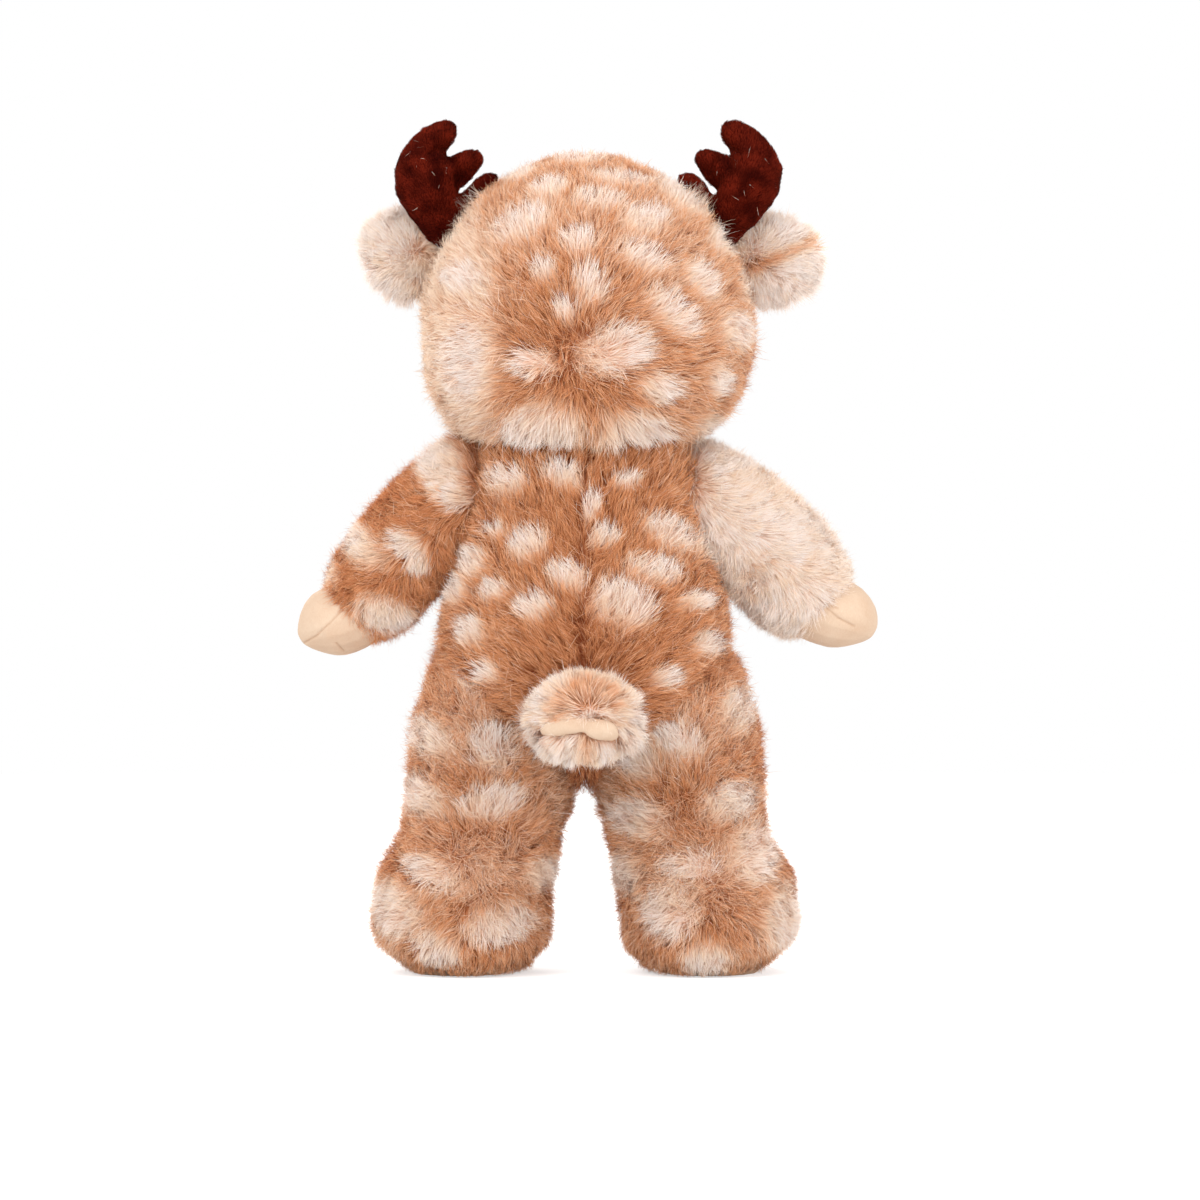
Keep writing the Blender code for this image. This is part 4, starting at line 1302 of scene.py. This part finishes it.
def ear_comb(points, normals):
    middle = EAR_MIDDLE * np.where(points[:, :1] > 0, 1, -1) * np.array((1, 0, 0))
    middle[:, 1:] = EAR_MIDDLE[1:]
    shift = np.sign(points[:, :1]) * np.array((EAR_WHORL_SHIFT, 0, 0))
    lie = spread_from(points - middle + shift, EAR_WHORL)
    return lie * np.clip((normals[:, 1:2] + 0.55) / 0.3, -1, 1)


def ear_shade(points, normals, rng):
    out = np.abs(points[:, 0])
    off = np.hypot(out - EAR_MIDDLE[0], points[:, 2] - EAR_MIDDLE[2]) / EAR_RADIUS
    root = fade(out, PEACH_EDGE, -PEACH_EDGE_BLEND)
    root *= np.clip((PEACH_TOP - points[:, 2]) / PEACH_TOP_BLEND, 0.2, 1)
    streak_height = STREAK_START[1] + STREAK_SLOPE * (out - STREAK_START[0])
    streak = np.clip(1 - np.abs(points[:, 2] - streak_height) / STREAK_HALF_WIDTH, 0, 1)
    streak *= points[:, 0] < 0
    warm = np.maximum(root, streak * 1.2)
    return 0.91 + 0.08 * np.clip(off - 0.4, 0, 1) - 0.34 * warm + rng.normal(0, 0.06, len(points))


def ear_trim(points, normals):
    return np.interp(normals[:, 1], (-0.98, -0.9, -0.3, -0.1), (0, 0.35, 0.5, 1))


for side, sign in (("left", 1), ("right", -1)):
    ear = soft_skin(f"{side}_ear_back", f"{side}_ear", voxel=EAR_VOXEL, rounds=4)
    ear_lean = LEFT_EAR_LEAN if side == "left" else RIGHT_EAR_LEAN
    leaned(ear, EAR_ROOT, ear_lean)
    back_with(ear, ear_shade)
    dressed(ear, f"{side}_ear", "cream_fur", f"{side}_ear", fill=0.3)
    pile(
        f"{side}_ear_fur", ear, f"{side}_ear", ear_comb, ear_shade, 61 + sign,
        trim=ear_trim, count=22000, length=EAR_PILE_LENGTH, width=EAR_PILE_WIDTH, stand=0.3,
        clump=0.65,
    )
    lining = soft_skin(f"{side}_ear_velour", f"{side}_ear_lining", voxel=LINING_VOXEL, rounds=3)
    leaned(lining, EAR_ROOT, ear_lean)
    hand_stuffed(lining, *LINING_LUMPS, 9)
    fold = [(x * sign, z) for x, z in EAR_FOLD]
    # The fold is pressed in, with painted shade along it.
    pressed_seam(lining, fold, -1, FOLD_DEPTH, FOLD_HALF_WIDTH)
    sewn_flat(lining, f"{side}_ear", f"{side}_ear_lining")

# Tail: a puff of long pile whose hairs spread from its tip, with a fold of pale velour
# showing in its lower half.
TAIL_TIP_COLUMN = 588
TAIL_TIP_ROW = 711
TAIL_ROOT = np.array((0, 0.066, 0))
# The tail is held a little up
TAIL_LEAN = np.array((0, 0, 0.0035))
# The lining's two lobes as a chain of balls: column, row and radius in pixels
LINING_LOBES = (
    (547, 726, 6.0), (554, 724, 8.8), (566, 722, 9.3), (578, 720, 8.4),
    (586, 720, 7.9), (595, 723, 10.7), (602, 725, 11.6), (608, 727, 9.8),
    (613, 730, 5.6),
)
LOBE_STEPS = 6
LOBE_STAND = 0.0026
LOBE_FLATTENING = 0.50
LOBE_LUMPS = (0.006, 0.0007)
TAIL_VOXEL = 0.0018
TAIL_WHORL = 0.009
TAIL_WHORL_DEPTH = -0.004
TAIL_RADIUS = 0.026
TAIL_PILE_LENGTH = 0.0125
TAIL_PILE_WIDTH = 0.00028
# The peach marks round the tail's tip, and the shorter pile under it
RING_DROP = 0.006
RING_BLEND = 0.004
NOTCH_HALF_WIDTH = 0.006
STREAK_HALF_HEIGHT = 0.004
CORNER_DROP = 0.004
CORNER_BLEND = 0.010
LOWER_DROP = 0.008
LOWER_BLEND = 0.010


def tail_comb(points, normals):
    x, z = photo_point(TAIL_TIP_COLUMN, TAIL_TIP_ROW)
    outward = np.zeros_like(points)
    outward[:, 0] = points[:, 0] - x
    outward[:, 1] = TAIL_WHORL_DEPTH
    outward[:, 2] = points[:, 2] - z
    return spread_from(outward, TAIL_WHORL)


def tail_shade(points, normals, rng):
    x, z = photo_point(TAIL_TIP_COLUMN, TAIL_TIP_ROW)
    off = np.hypot(points[:, 0] - x, points[:, 2] - z) / TAIL_RADIUS
    ring = np.clip(1.2 - np.abs(off - 0.50) / 0.26, 0, 1)
    ring *= np.clip((points[:, 2] - z + RING_DROP) / RING_BLEND, 0, 1)
    notch = np.clip(1 - np.abs(points[:, 0] - x) / NOTCH_HALF_WIDTH, 0, 1)
    notch *= points[:, 2] < z - RING_DROP
    streak = np.clip(1 - np.abs(points[:, 2] - z) / STREAK_HALF_HEIGHT, 0, 1) * (points[:, 0] < x)
    warm = np.maximum(ring * (1 - 0.8 * streak), notch * 0.9)
    return 0.94 - 0.40 * warm + rng.normal(0, 0.06, len(points))


def tail_trim(points, normals):
    """Leaves the lining's two lobes bare, and combs short what grows close to them."""
    left = np.ones(len(points))
    for column, row, radius in LINING_LOBES:
        x, z = photo_point(column, row)
        apart = np.hypot(points[:, 0] - x, points[:, 2] - z) / (radius * PIXEL)
        near = np.clip((apart - 0.7) / 0.9, 0, 1) * 0.35 + 0.65
        near[apart < 0.7] = 0
        left = np.minimum(left, np.where(normals[:, 1] > -0.2, near, 1))
    x, z = photo_point(TAIL_TIP_COLUMN, TAIL_TIP_ROW)
    corner = np.clip(np.abs(points[:, 0] - x) / CORNER_BLEND, 0, 1) * (points[:, 2] < z - CORNER_DROP)
    below = np.clip((z - LOWER_DROP - points[:, 2]) / LOWER_BLEND, 0, 1)
    return left * (1.05 - 0.30 * below) * (1 + 0.30 * corner)


tail = soft_skin("tail_cover", "tail", "tail_stuffing", "tail_lining", voxel=TAIL_VOXEL)
leaned(tail, TAIL_ROOT, TAIL_LEAN)
back_with(tail, tail_shade)
dressed(tail, "tail", "caramel_fur", "tail", "tail_stuffing")
pile(
    "tail_fur", tail, "tail", tail_comb, tail_shade, 71,
    count=30000, length=TAIL_PILE_LENGTH, width=TAIL_PILE_WIDTH, stand=0.5, trim=tail_trim,
)

bm = bmesh.new()
surface = BVHTree.FromObject(tail, bpy.context.evaluated_depsgraph_get())
for (column, row, radius), (next_column, next_row, next_radius) in zip(LINING_LOBES, LINING_LOBES[1:]):
    for step in np.linspace(0, 1, LOBE_STEPS):
        x, z = photo_point(column + (next_column - column) * step, row + (next_row - row) * step)
        size = (radius + (next_radius - radius) * step) * PIXEL
        seat = surface.ray_cast(Vector((x, 1, z)), Vector((0, -1, 0)))[0]
        ball = bmesh.ops.create_icosphere(bm, subdivisions=2, radius=size)["verts"]
        bmesh.ops.scale(bm, vec=(1, LOBE_FLATTENING, 1), verts=ball)
        bmesh.ops.translate(bm, vec=seat + Vector((0, LOBE_STAND, 0)), verts=ball)
lining = added("tail_velour", bm)
even_out(lining, HOOF_VOXEL, 12)
hand_stuffed(lining, *LOBE_LUMPS, 4)
sewn_flat(lining, "tail", "tail_lining")
